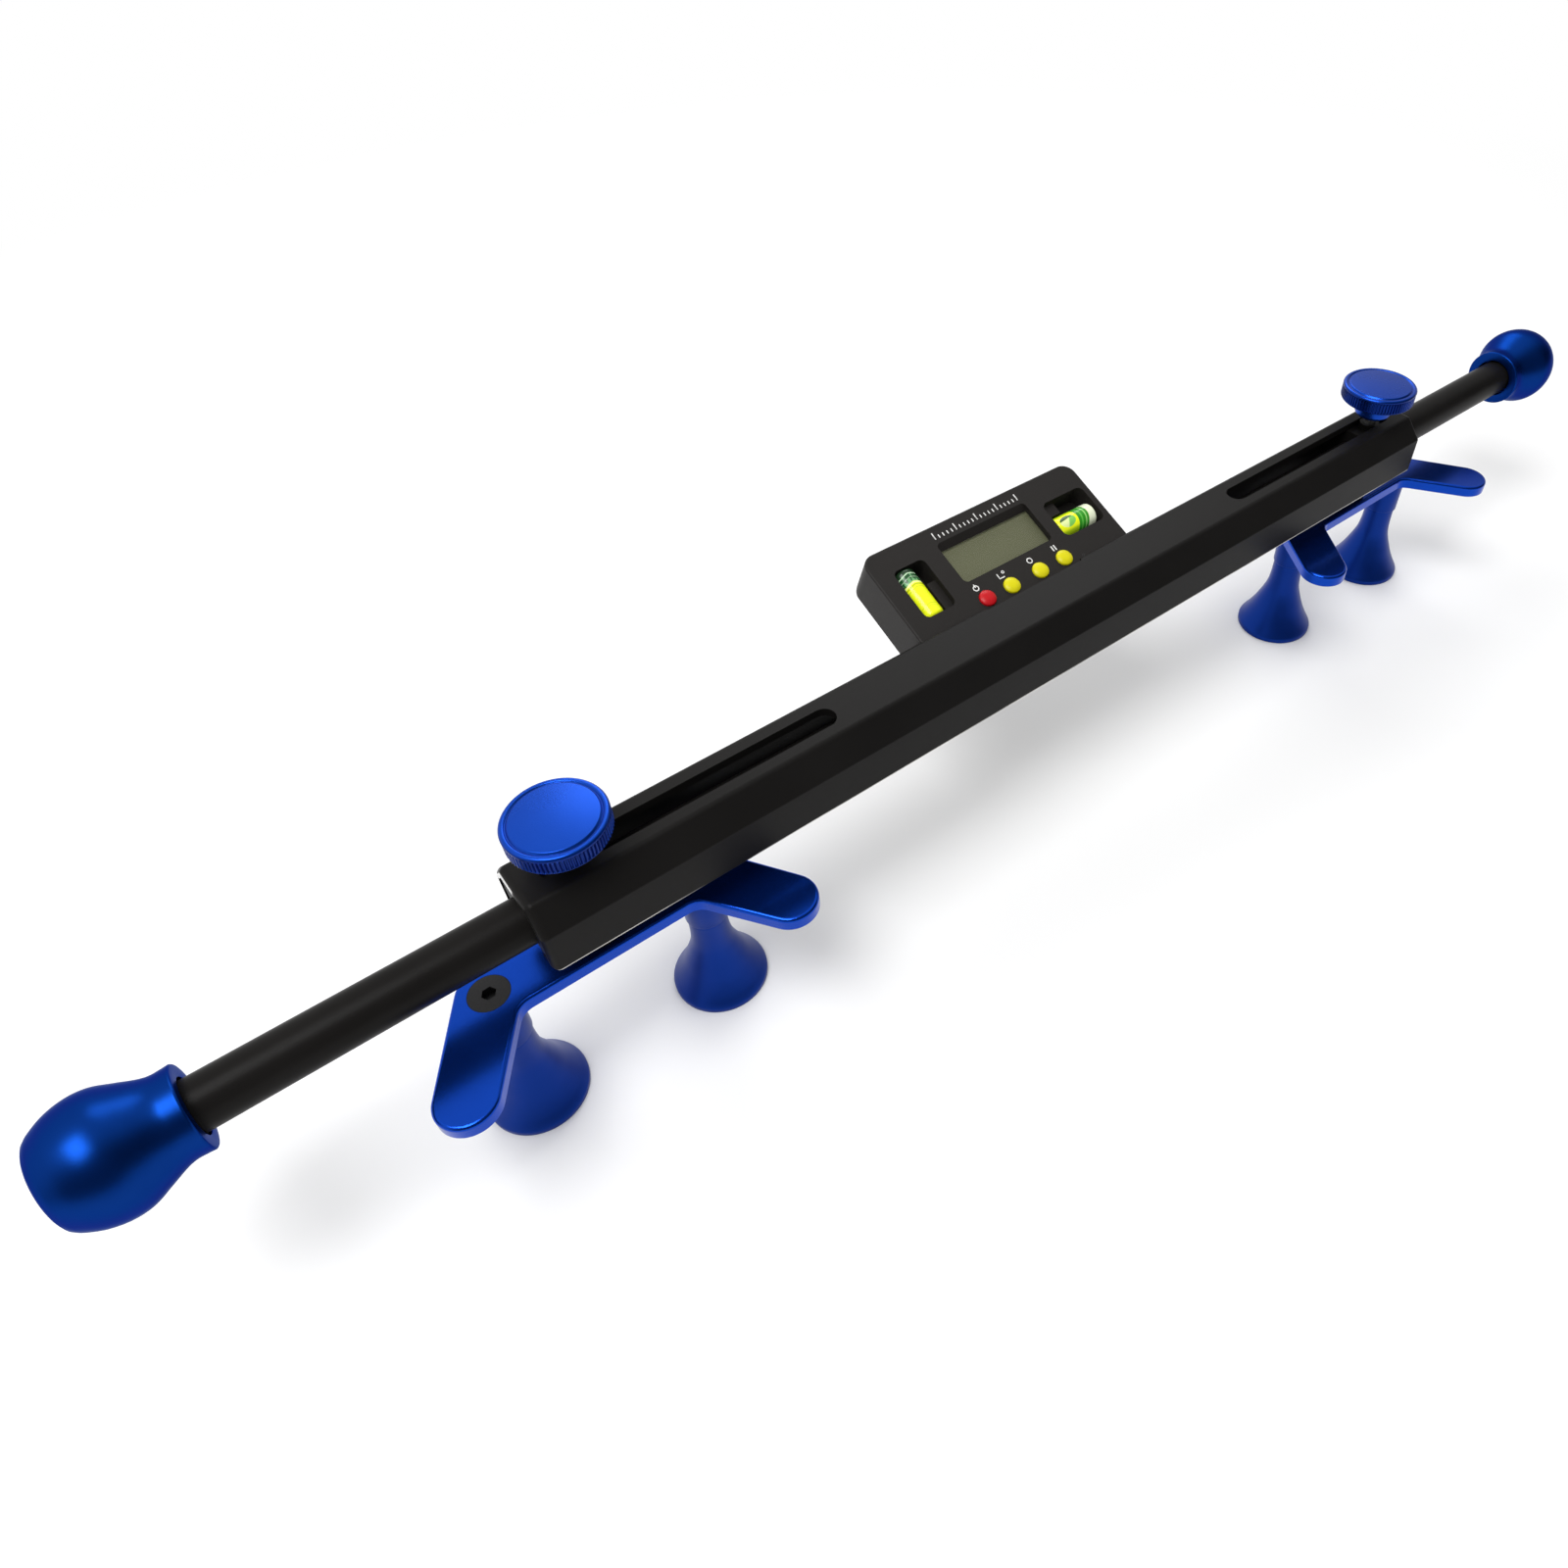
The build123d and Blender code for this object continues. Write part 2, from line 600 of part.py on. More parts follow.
def make_foot():
    neck_low = FOOT_HEIGHT - FOOT_NECK_STRAIGHT
    height = neck_low - FOOT_RIM_HEIGHT
    swell = FOOT_R - FOOT_NECK_R
    curve = [(FOOT_NECK_R, 0, neck_low)]
    for down, share in FOOT_CURVE_SHARES:
        curve.append((FOOT_NECK_R + swell * share, 0, neck_low - height * down))
    curve.append((FOOT_R, 0, FOOT_RIM_HEIGHT))
    hole_r = FOOT_SCREW_R + FOOT_SCREW_GAP
    hole_low = FOOT_HEIGHT - FOOT_SCREW_DEPTH - FOOT_HOLE_EXTRA
    bell = Spline(curve, tangents=[(0, 0, -1), (0, 0, -1)])
    outline = [
        Polyline((hole_r, 0, FOOT_HEIGHT), (FOOT_NECK_R - SPACER_BEVEL, 0, FOOT_HEIGHT),
                 (FOOT_NECK_R, 0, FOOT_HEIGHT - SPACER_BEVEL), curve[0]),
        bell,
        Polyline(curve[-1], (FOOT_R, 0, FOOT_BEVEL), (FOOT_R - FOOT_BEVEL, 0, 0),
                 (0, 0, 0), (0, 0, hole_low), (hole_r, 0, hole_low),
                 (hole_r, 0, FOOT_HEIGHT)),
    ]
    return revolve(make_face(Curve() + outline), axis=Axis.Z)


def washer_top():
    return PLATE_BOTTOM - PIVOT_PLAY


def make_pivot_washer():
    washer = disc(WASHER_R, washer_top() - WASHER_THICK, washer_top())
    return washer - disc(PIVOT_SCREW_R + SCREW_GAP, washer_top() - WASHER_THICK - OVERRUN,
                         washer_top() + OVERRUN)


def make_pivot_screw():
    head_top = washer_top() - WASHER_THICK
    head_low = head_top - PIVOT_SCREW_HEAD_HEIGHT
    head = disc(PIVOT_SCREW_HEAD_R, head_low, head_top)
    rim = head.edges().filter_by(GeomType.CIRCLE).sort_by(Axis.Z)[0]
    screw = fillet(rim, PIVOT_SCREW_ROUNDING)
    shank_top = washer_top() + PIVOT_SCREW_DEPTH - PIVOT_SCREW_ROUNDING
    screw += disc(PIVOT_SCREW_R, head_top, shank_top)
    return screw - hex_socket(PIVOT_SCREW_SOCKET_R, head_low - OVERRUN,
                              head_low + PIVOT_SCREW_SOCKET_DEPTH)


# Digital level unit.

def place_unit(shape):
    """From the unit's own frame to its place on the bar."""
    seat = Pos(UNIT_X, BAR_FLAT_HALF + NOTCH_GAP, BAR_TOP - FACE_DROP)
    return seat * Rot(FACE_TILT, 0, 0) * shape


def well_cut(well, radius):
    x0, x1, y0, y1 = well
    floor = -VIAL_DEPTH - VIAL_R - VIAL_SEAT_GAP
    return rounded_block(x0, x1, y0, y1, floor, OVERRUN, radius)


def left_ledge():
    x0, x1, y0, y1 = LEFT_WELL
    start = x0 + LEFT_VIAL_SIDE_GAP + VIAL_R * 2 + LEDGE_GAP
    end = y0 + (y1 - y0) * LEFT_LEDGE_SHARE
    return block(start, x1, y0, end, -UNIT_THICK / 2, -LEDGE_BELOW_FACE)


def right_ledge():
    x0, x1, y0, y1 = RIGHT_WELL
    start = y0 + RIGHT_VIAL_FRONT_GAP + VIAL_R * 2 + LEDGE_GAP
    end = x0 + (x1 - x0) * RIGHT_LEDGE_SHARE
    return block(x0, end, start, y1, -UNIT_THICK / 2, -LEDGE_BELOW_FACE)


def lcd_cut():
    """Window opening, with a bevel along its back edge."""
    opening = rounded_block(-LCD_HALF, LCD_HALF, LCD_FRONT, LCD_BEVEL_BACK,
                            -FACE_WALL - OVERRUN, OVERRUN, LCD_CORNER_R)
    bevel = prism_x([(LCD_FRONT - OVERRUN, OVERRUN), (LCD_BEVEL_BACK, OVERRUN),
                     (LCD_BEVEL_BACK, 0), (LCD_BACK, -FACE_WALL),
                     (LCD_BACK, -FACE_WALL - OVERRUN),
                     (LCD_FRONT - OVERRUN, -FACE_WALL - OVERRUN)],
                    -LCD_HALF - OVERRUN, LCD_HALF + OVERRUN)
    return opening & bevel


def make_housing():
    plan = RectangleRounded(UNIT_HALF * 2, UNIT_DEPTH, UNIT_CORNER_R)
    shell = Pos(0, UNIT_DEPTH / 2, -UNIT_THICK) * extrude(plan, amount=UNIT_THICK)
    front = block(-UNIT_HALF, UNIT_HALF, 0, UNIT_CORNER_R * 2, -UNIT_THICK, 0)
    upright = front.edges().filter_by(Axis.Z).group_by(Axis.Y)[0]
    shell += fillet(upright, UNIT_FRONT_R)
    side = flat_face([(0, -OVERRUN, 0), (0, UNIT_DEPTH, 0), (0, UNIT_DEPTH, -UNIT_THICK),
                      (0, -OVERRUN, -UNIT_THICK)])
    corner = side.vertices().sort_by(Axis.Z)[:2].sort_by(Axis.Y)[-1]
    side = fillet(corner, UNIT_BACK_R)
    past = UNIT_HALF + OVERRUN
    shell &= Pos(-past, 0, 0) * extrude(side, amount=past * 2, dir=(1, 0, 0))
    rim = shell.faces().sort_by(Axis.Z)[-1]
    shell = fillet(rim.edges(), UNIT_EDGE_R)

    shell -= well_cut(LEFT_WELL, LEFT_WELL_R) - left_ledge()
    shell -= well_cut(RIGHT_WELL, RIGHT_WELL_R) - right_ledge()
    shell -= lcd_cut()
    back = UNIT_DEPTH - CAVITY_BACK_WALL
    shell -= block(-CAVITY_HALF, CAVITY_HALF, CAVITY_FRONT, back,
                   -CAVITY_UPPER_DEPTH, -FACE_WALL)
    shell -= block(-CAVITY_LOWER_HALF, CAVITY_LOWER_HALF, CAVITY_LOWER_FRONT, back,
                   -UNIT_THICK - OVERRUN, -CAVITY_UPPER_DEPTH)
    shell -= cover_plate(COVER_GAP, OVERRUN)
    for x in BUTTON_X:
        shell -= Pos(x, BUTTON_Y) * disc(BUTTON_R + BUTTON_HOLE_GAP,
                                         -FACE_WALL - OVERRUN, OVERRUN)
    for x, y in cover_screw_places():
        shell -= Pos(x, y) * disc(COVER_SCREW_R + SCREW_GAP, -UNIT_THICK,
                                  -UNIT_THICK + COVER_SCREW_LENGTH + SCREW_GAP)
    shell = place_unit(shell)

    room = BAR_LENGTH
    seat_y = BAR_HALF + SCREW_GAP
    shell -= block(-room, room, -BAR_HALF, seat_y, 0, BAR_TOP - NOTCH_DEPTH + SCREW_GAP)
    for x in unit_screw_places():
        depth = UNIT_SCREW_LENGTH - BAR_SIDE_WALL + SCREW_GAP
        hole = extrude(Circle(UNIT_SCREW_R + SCREW_GAP), amount=depth + OVERRUN)
        start = Pos(x, BAR_HALF + depth, BAR_TOP - UNIT_SCREW_DROP)
        shell -= start * Rot(90, 0, 0) * hole
    return shell


def cover_plate(gap, below):
    """The back cover, or with a gap the pocket that it lies in."""
    return rounded_block(-COVER_HALF - gap, COVER_HALF + gap, COVER_FRONT - gap,
                         UNIT_DEPTH - COVER_BACK_WALL + gap,
                         -UNIT_THICK - below, -UNIT_THICK + COVER_THICK + gap,
                         COVER_CORNER_R)


def cover_screw_places():
    front = COVER_FRONT + COVER_SCREW_INSET
    back = UNIT_DEPTH - COVER_BACK_WALL - COVER_SCREW_INSET
    return [(x, y) for x in (-COVER_SCREW_X, COVER_SCREW_X) for y in (front, back)]


def cover_screw_body(gap):
    cone = COVER_SCREW_HEAD_R - COVER_SCREW_R
    over = OVERRUN if gap > 0 else 0
    low = -UNIT_THICK
    return turned([
        (0, low - over),
        (COVER_SCREW_HEAD_R + gap, low - over),
        (COVER_SCREW_HEAD_R + gap, low + COVER_SCREW_HEAD_RIM),
        (COVER_SCREW_R + gap, low + COVER_SCREW_HEAD_RIM + cone),
        (COVER_SCREW_R + gap, low + COVER_SCREW_LENGTH),
        (0, low + COVER_SCREW_LENGTH),
    ])


def make_cover():
    cover = cover_plate(0, 0)
    ring_low = -UNIT_THICK + COVER_THICK
    ring_in = CELL_R + CELL_RING_GAP
    ring = disc(ring_in + CELL_RING_WALL, ring_low, ring_low + CELL_RING_HEIGHT)
    cover += Pos(0, CELL_Y) * ring
    cover -= Pos(0, CELL_Y) * disc(ring_in, ring_low - OVERRUN,
                                   ring_low + CELL_RING_HEIGHT + OVERRUN)
    cover -= Pos(0, CELL_Y) * disc(LID_R + LID_GAP, -UNIT_THICK - OVERRUN,
                                   ring_low - lid_step())
    for x, y in cover_screw_places():
        cover -= Pos(x, y) * cover_screw_body(SCREW_GAP)
    return place_unit(cover)


def lid_step():
    return COVER_THICK / 4


def make_lid():
    lid = disc(LID_R, -UNIT_THICK, -UNIT_THICK + COVER_THICK - lid_step() - LID_GAP)
    groove = Box(LID_SLOT_LENGTH, LID_SLOT_WIDTH, LID_SLOT_DEPTH * 2)
    lid -= Pos(0, 0, -UNIT_THICK) * groove
    return place_unit(Pos(0, CELL_Y) * lid)


def make_cell():
    low = -UNIT_THICK + COVER_THICK - lid_step() - LID_GAP
    cell = disc(CELL_R, low, low + CELL_THICK)
    cell = chamfer(cell.edges().filter_by(GeomType.CIRCLE), CELL_EDGE)
    return place_unit(Pos(0, CELL_Y) * cell)


def make_cover_screws():
    low = -UNIT_THICK
    groove = Box(COVER_SCREW_HEAD_R * 3, COVER_SCREW_SLOT, COVER_SCREW_SLOT_DEPTH * 2)
    screw = cover_screw_body(0) - Pos(0, 0, low) * groove
    placed = [place_unit(Pos(x, y) * screw) for x, y in cover_screw_places()]
    return Compound(children=placed)


def make_window():
    low = -FACE_WALL - WINDOW_THICK
    glass = block(-WINDOW_HALF, WINDOW_HALF, LCD_FRONT - WINDOW_MARGIN,
                  LCD_BACK + WINDOW_MARGIN, low, -FACE_WALL)
    return place_unit(glass)


def make_panel():
    high = -FACE_WALL - WINDOW_THICK
    panel = block(-WINDOW_HALF, WINDOW_HALF, LCD_FRONT - WINDOW_MARGIN,
                  LCD_BACK + WINDOW_MARGIN, high - PANEL_THICK, high)
    return place_unit(panel)


def board_top():
    return -FACE_WALL - WINDOW_THICK - PANEL_THICK


def make_board():
    board = block(-BOARD_HALF, BOARD_HALF, CAVITY_FRONT + BOARD_GAP,
                  UNIT_DEPTH - CAVITY_BACK_WALL - BOARD_GAP,
                  board_top() - BOARD_THICK, board_top())
    return place_unit(board)


def make_switches():
    key = disc(SWITCH_R, board_top(), board_top() + SWITCH_HEIGHT)
    placed = [place_unit(Pos(x, BUTTON_Y) * key) for x in BUTTON_X]
    return Compound(children=placed)


def make_button(x):
    flange_high = -FACE_WALL - BUTTON_PLAY
    flange_low = flange_high - BUTTON_FLANGE_THICK
    stem_low = board_top() + SWITCH_HEIGHT + BUTTON_TRAVEL + BUTTON_PLAY
    cap = disc(BUTTON_R, flange_low, BUTTON_RISE)
    top = cap.edges().filter_by(GeomType.CIRCLE).sort_by(Axis.Z)[-1]
    button = fillet(top, BUTTON_ROUNDING)
    button += disc(BUTTON_R + BUTTON_FLANGE, flange_low, flange_high)
    if stem_low < flange_low:
        button += disc(BUTTON_STEM_R, stem_low, flange_low)
    return place_unit(Pos(x, BUTTON_Y) * button)


# Vials, made lying along local x from zero, plug at the far end.

def lying(radius, start, end):
    return Pos(start, 0, 0) * Rot(0, 90, 0) * extrude(Circle(radius), amount=end - start)


def vial_tube(length):
    tube = lying(VIAL_R, 0, length - VIAL_PLUG)
    rim = tube.edges().filter_by(GeomType.CIRCLE).sort_by(Axis.X)[0]
    tube = fillet(rim, VIAL_END_R)
    return tube - lying(VIAL_BORE_R, VIAL_END_WALL, length)


def vial_plug(length):
    start = length - VIAL_PLUG
    plug = lying(VIAL_R, start, length)
    rim = plug.edges().filter_by(GeomType.CIRCLE).sort_by(Axis.X)[-1]
    plug = fillet(rim, VIAL_END_R)
    return plug + lying(VIAL_BORE_R - VIAL_FLUID_GAP, start - VIAL_PLUG_SPIGOT, start)


def vial_fluid(length):
    end = length - VIAL_PLUG - VIAL_PLUG_SPIGOT - VIAL_FLUID_GAP
    start = VIAL_END_WALL + VIAL_FLUID_GAP
    radius = VIAL_BORE_R - VIAL_FLUID_GAP
    fluid = lying(radius, start, end)
    rise = radius - VIAL_BUBBLE_R - VIAL_FLUID_GAP
    return fluid - Pos((start + end) / 2, 0, rise) * Sphere(VIAL_BUBBLE_R)


def place_left(shape):
    """Left vial: lies up the face, plug at the back."""
    x = LEFT_WELL[0] + LEFT_VIAL_SIDE_GAP + VIAL_R
    y = LEFT_WELL[2] + VIAL_GAP
    return place_unit(Pos(x, y, -VIAL_DEPTH) * Rot(0, 0, 90) * shape)


def place_right(shape):
    """Right vial: lies along the bar, plug at the right."""
    x = RIGHT_WELL[0] + VIAL_GAP
    y = RIGHT_WELL[2] + RIGHT_VIAL_FRONT_GAP + VIAL_R
    return place_unit(Pos(x, y, -VIAL_DEPTH) * shape)


def left_length():
    return LEFT_WELL[3] - LEFT_WELL[2] - VIAL_GAP * 2


def right_length():
    return RIGHT_WELL[1] - RIGHT_WELL[0] - VIAL_GAP - RIGHT_VIAL_END_GAP


def make_unit_screws():
    inner = BAR_HALF - BAR_SIDE_WALL
    head = disc(UNIT_SCREW_HEAD_R, -UNIT_SCREW_HEAD_HEIGHT, 0)
    screw = head + disc(UNIT_SCREW_R, 0, UNIT_SCREW_LENGTH)
    screw -= hex_socket(UNIT_SCREW_SOCKET_R, -UNIT_SCREW_HEAD_HEIGHT - OVERRUN,
                        -UNIT_SCREW_HEAD_HEIGHT + UNIT_SCREW_SOCKET_DEPTH)
    placed = []
    for x in unit_screw_places():
        seat = Pos(x, inner, BAR_TOP - UNIT_SCREW_DROP)
        placed.append(seat * Rot(-90, 0, 0) * screw)
    return Compound(children=placed)


# Write every piece.

save(make_bar(), "bar")
save(make_rod(), "rod")
carriage = make_carriage()
pad = make_pad()
stud = make_stud()
knob = make_knob()
bracket = make_bracket()
screws = make_foot_screws()
spacer = make_spacer()
foot = make_foot()
washer = make_pivot_washer()
pivot_screw = make_pivot_screw()

for side, tag in ((-1, "left"), (1, "right")):
    move = Pos(side * CARRIAGE_X, 0, 0)
    save(make_bush(side), f"bar_bush_{tag}")
    save(make_handle(side), f"handle_{tag}")
    save(move * carriage, f"carriage_{tag}")
    save(move * pad, f"clamp_pad_{tag}")
    save(move * stud, f"thumbscrew_stud_{tag}")
    save(move * knob, f"thumbscrew_head_{tag}")
    save(move * bracket, f"bracket_{tag}")
    save(move * screws, f"foot_screws_{tag}")
    save(move * washer, f"pivot_washer_{tag}")
    save(move * pivot_screw, f"pivot_screw_{tag}")
    for (x, y), post in zip(foot_places(), ("a", "b")):
        save(move * Pos(x, y) * spacer, f"spacer_{tag}_{post}")
        save(move * Pos(x, y) * foot, f"foot_{tag}_{post}")

save(make_housing(), "unit_housing")
save(make_cover(), "unit_cover")
save(make_cover_screws(), "unit_cover_screws")
save(make_unit_screws(), "unit_mounting_screws")
save(make_lid(), "battery_lid")
save(make_cell(), "battery_cell")
save(make_window(), "display_window")
save(make_panel(), "display_panel")
save(make_board(), "circuit_board")
save(make_switches(), "key_switches")
for x, name in zip(BUTTON_X, BUTTON_NAMES):
    save(make_button(x), name)
save(place_left(vial_tube(left_length())), "vial_left_tube")
save(place_left(vial_plug(left_length())), "vial_left_plug")
save(place_left(vial_fluid(left_length())), "vial_left_fluid")
save(place_right(vial_tube(right_length())), "vial_right_tube")
save(place_right(vial_plug(right_length())), "vial_right_plug")
save(place_right(vial_fluid(right_length())), "vial_right_fluid")
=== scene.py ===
import json
import math

import bpy
from mathutils import Matrix, Vector


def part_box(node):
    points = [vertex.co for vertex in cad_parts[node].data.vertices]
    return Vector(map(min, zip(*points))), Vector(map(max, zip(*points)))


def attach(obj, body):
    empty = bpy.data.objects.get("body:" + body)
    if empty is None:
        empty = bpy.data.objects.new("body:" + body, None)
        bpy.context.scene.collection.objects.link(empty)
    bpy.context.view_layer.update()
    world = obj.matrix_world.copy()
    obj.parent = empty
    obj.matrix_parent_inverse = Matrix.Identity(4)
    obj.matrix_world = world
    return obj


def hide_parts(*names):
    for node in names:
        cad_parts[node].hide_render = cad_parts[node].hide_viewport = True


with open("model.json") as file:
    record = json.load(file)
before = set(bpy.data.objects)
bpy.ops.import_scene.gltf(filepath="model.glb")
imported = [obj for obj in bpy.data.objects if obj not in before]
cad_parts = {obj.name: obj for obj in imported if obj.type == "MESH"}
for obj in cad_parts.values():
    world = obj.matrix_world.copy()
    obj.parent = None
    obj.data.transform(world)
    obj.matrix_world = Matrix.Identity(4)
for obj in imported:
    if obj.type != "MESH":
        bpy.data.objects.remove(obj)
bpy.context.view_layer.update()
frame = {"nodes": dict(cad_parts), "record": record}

MM = 0.001


class Value:
    """One output of a node, with sums written as plain Python."""

    def __init__(self, tree, socket):
        self.tree = tree
        self.socket = socket

    def _math(self, operation, other, swapped=False):
        pair = [other, self] if swapped else [self, other]
        return self.tree.node("ShaderNodeMath", {"operation": operation},
                              dict(enumerate(pair)))

    def __add__(self, other):
        return self._math("ADD", other)

    __radd__ = __add__

    def __sub__(self, other):
        return self._math("SUBTRACT", other)

    def __rsub__(self, other):
        return self._math("SUBTRACT", other, True)

    def __mul__(self, other):
        return self._math("MULTIPLY", other)

    __rmul__ = __mul__

    def __gt__(self, other):
        return self._math("GREATER_THAN", other)

    def __abs__(self):
        return self.tree.node("ShaderNodeMath", {"operation": "ABSOLUTE"}, {0: self})

    def clipped(self):
        """The value, kept between 0 and 1."""
        return self.tree.node("ShaderNodeClamp", {}, {0: self})


class Tree:
    """A node tree, and the one way that its nodes are made."""

    def __init__(self, tree):
        self.nodes = tree.nodes
        self.links = tree.links
        self.nodes.clear()

    def made(self, kind, settings, values):
        """A new node, with its settings and with its sockets fed."""
        node = self.nodes.new(kind)
        for key, setting in settings.items():
            setattr(node, key, setting)
        for key, value in values.items():
            self.feed(node.inputs[key], value)
        return node

    def node(self, kind, settings, values, out=0):
        """One output of a new node."""
        return Value(self, self.made(kind, settings, values).outputs[out])

    def feed(self, socket, value):
        if isinstance(value, Value):
            self.links.new(value.socket, socket)
        else:
            socket.default_value = value

    def split(self, vector):
        """The three numbers of a vector."""
        parts = self.made("ShaderNodeSeparateXYZ", {}, {0: vector})
        return [Value(self, socket) for socket in parts.outputs]

    def rays(self, *kinds):
        """1 for rays of these kinds and 0 for the others."""
        path = self.made("ShaderNodeLightPath", {}, {})
        return sum(Value(self, path.outputs[f"Is {kind} Ray"]) for kind in kinds).clipped()


class Finish(Tree):
    """A material with one main shader."""

    def __init__(self, name):
        self.material = bpy.data.materials.new(name)
        self.material.use_nodes = True
        super().__init__(self.material.node_tree)
        self.shader = self.made("ShaderNodeBsdfPrincipled", {}, {})
        self.surface = self.made("ShaderNodeOutputMaterial", {},
                                 {"Surface": Value(self, self.shader.outputs[0])})

    def set(self, **values):
        for key, value in values.items():
            self.feed(self.shader.inputs[key.replace("_", " ")], value)

    def place(self):
        return self.node("ShaderNodeTexCoord", {}, {}, "Object")

    def stretched(self, vector, scale):
        return self.node("ShaderNodeMapping", {}, {"Vector": vector, "Scale": scale})

    def noise(self, vector, scale, detail):
        return self.node("ShaderNodeTexNoise", {},
                         {"Vector": vector, "Scale": scale, "Detail": detail})

    def blend(self, share, low, high):
        """From the low colour, where the share is 0, to the high one."""
        return self.node("ShaderNodeMix", {"data_type": "RGBA"}, {0: share, 6: low, 7: high}, 2)

    def between(self, share, low, high):
        """From the low number, where the share is 0, to the high one."""
        return share * (high - low) + low

    def band(self, value, low, high, soft):
        """1 between two numbers and 0 outside them, with soft edges."""
        rise = ((value - (low - soft)) * (1.0 / soft)).clipped()
        fall = (((high + soft) - value) * (1.0 / soft)).clipped()
        return rise * fall

    def bump(self, height, strength):
        """Fine relief, at most a tenth of a millimetre deep."""
        return self.node("ShaderNodeBump", {}, {"Height": height, "Strength": strength,
                                                "Distance": 0.1 * MM})


def rgba(red, green, blue):
    return (red, green, blue, 1.0)


def darker(colour, share):
    return rgba(*[value * share for value in colour[:3]])


bar_low, bar_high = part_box("bar")

# The level unit's face leans back from a front line that lies on the bar.
face_tilt = math.radians(23.0)
face_front = Vector((-1.5 * MM, 9.0 * MM, bar_high.z - 2.8 * MM))
face_up = Vector((0, math.cos(face_tilt), math.sin(face_tilt)))
face_out = Vector((0, -math.sin(face_tilt), math.cos(face_tilt)))

# Places on the unit, in its own millimetres: along its face, up it and out of it.
button_x = {"power": -18.1, "unit": -6.4, "zero": 7.7, "hold": 19.8}
button_up = 4.9
vial_radius = 4.6
vial_out = -4.8
left_vial_x = -38.2
left_vial_up = 8.85
left_vial_length = 20.9
right_vial_x = 27.45
right_vial_up = 17.9
right_vial_length = 19.15


def on_unit(x, up, out):
    """A place in the level unit's own millimetres, as a place in the scene."""
    along = Vector((1, 0, 0))
    return face_front + (along * x + face_up * up + face_out * out) * MM


def unit_places(finish, spot):
    """Along and up the unit's face, in millimetres, as values of a finish."""
    along, depth, height = [(value - start) * (1.0 / MM)
                            for value, start in zip(finish.split(spot), face_front)]
    return along, depth * math.cos(face_tilt) + height * math.sin(face_tilt)


# Finishes.

def anodised_finish(name, low, high, rough, metallic, specular, grain=0.2):
    """Bead blasted anodised aluminium: fine even grain and a little cloudiness."""
    finish = Finish(name)
    spot = finish.place()
    cloud = finish.noise(spot, 38.0, 4.0)
    speck = finish.noise(spot, 2600.0, 2.0)
    finish.set(Base_Color=finish.blend(cloud, low, high), Metallic=metallic,
               Specular_IOR_Level=specular,
               Roughness=finish.between(cloud, rough - 0.04, rough + 0.04),
               Normal=finish.bump(speck, grain))
    return finish


def bar_finish():
    """Black anodised extrusion: faint lengthwise drawing lines, a painted highlight on the
    back of each end's rounded edge, and a thin painted highlight in patches on each lower edge."""
    finish = Finish("bar_black_anodised")
    spot = finish.place()
    x, y, z = finish.split(spot)
    cloud = finish.noise(spot, 30.0, 4.0)
    drawn = finish.noise(finish.stretched(spot, (0.02, 1.0, 1.0)), 1400.0, 2.0)
    speck = finish.noise(spot, 2400.0, 2.0)
    # Noise that breaks the lower edges' painted highlight into patches.
    edge_highlight_noise = finish.noise(finish.stretched(spot, (0.25, 1.0, 1.0)), 60.0, 2.0)
    beyond = 50.0 * MM
    # Painted highlight: the back half of each end's rounded edge is coloured as bright metal.
    end = finish.band(abs(x), bar_high.x - 0.2 * MM, bar_high.x + beyond, 0.15 * MM)
    end = end * finish.band(y, 0.2 * MM, beyond, 1.2 * MM) * (z > bar_high.z - 8.5 * MM)
    # Painted highlight: a thin light line along each lower edge.
    edge = finish.band(z, bar_low.z + 0.1 * MM, bar_low.z + 0.8 * MM, 0.2 * MM)
    edge = edge * finish.band(abs(y), bar_high.y - 0.6 * MM, beyond, 0.1 * MM)
    edge = edge * finish.band(edge_highlight_noise, 0.50, 2.0, 0.14)
    black = finish.blend(cloud, rgba(0.0065, 0.006, 0.0058), rgba(0.0105, 0.0098, 0.0092))
    # The colour of the painted highlights, brightest on the ends.
    metal = finish.blend(end, rgba(0.66, 0.64, 0.60), rgba(0.80, 0.80, 0.79))
    painted_highlight = (end + edge).clipped()
    finish.set(Base_Color=finish.blend(painted_highlight, black, metal),
               Metallic=painted_highlight * end * 0.6, Specular_IOR_Level=0.075,
               Roughness=finish.between(cloud, 0.36, 0.44),
               Normal=finish.bump(drawn * 0.4 + speck * 0.6, 0.2))
    return finish


def knob_finish():
    """Blue anodised, with painted shade: the ribbed edge is coloured darker than the top."""
    finish = Finish("knob_blue_anodised")
    spot = finish.place()
    height = finish.split(spot)[2]
    cloud = finish.noise(spot, 38.0, 4.0)
    speck = finish.noise(spot, 2600.0, 2.0)
    edge_low, edge_high = bar_high.z + 11.0 * MM, bar_high.z + 16.8 * MM
    # Painted shade: the ribbed band takes a darker blue than the top.
    ribbed = finish.band(height, edge_low, edge_high, 0.3 * MM)
    top = finish.blend(cloud, rgba(0.004, 0.048, 0.37), rgba(0.006, 0.060, 0.43))
    finish.set(Base_Color=finish.blend(ribbed, top, rgba(0.0026, 0.023, 0.185)),
               Metallic=0.85, Specular_IOR_Level=0.3,
               Roughness=finish.between(cloud, 0.24, 0.32), Normal=finish.bump(speck, 0.2))
    return finish


def moulded_finish(name, colour, rough, texture):
    """Injection moulded plastic: fine spark eroded texture and faint flow clouds."""
    finish = Finish(name)
    spot = finish.place()
    cloud = finish.noise(spot, 45.0, 3.0)
    speck = finish.noise(spot, 1900.0, 3.0)
    finish.set(Base_Color=finish.blend(cloud, darker(colour, 0.82), colour),
               Specular_IOR_Level=0.18,
               Roughness=finish.between(cloud, rough - 0.03, rough + 0.05),
               Normal=finish.bump(speck, texture))
    return finish


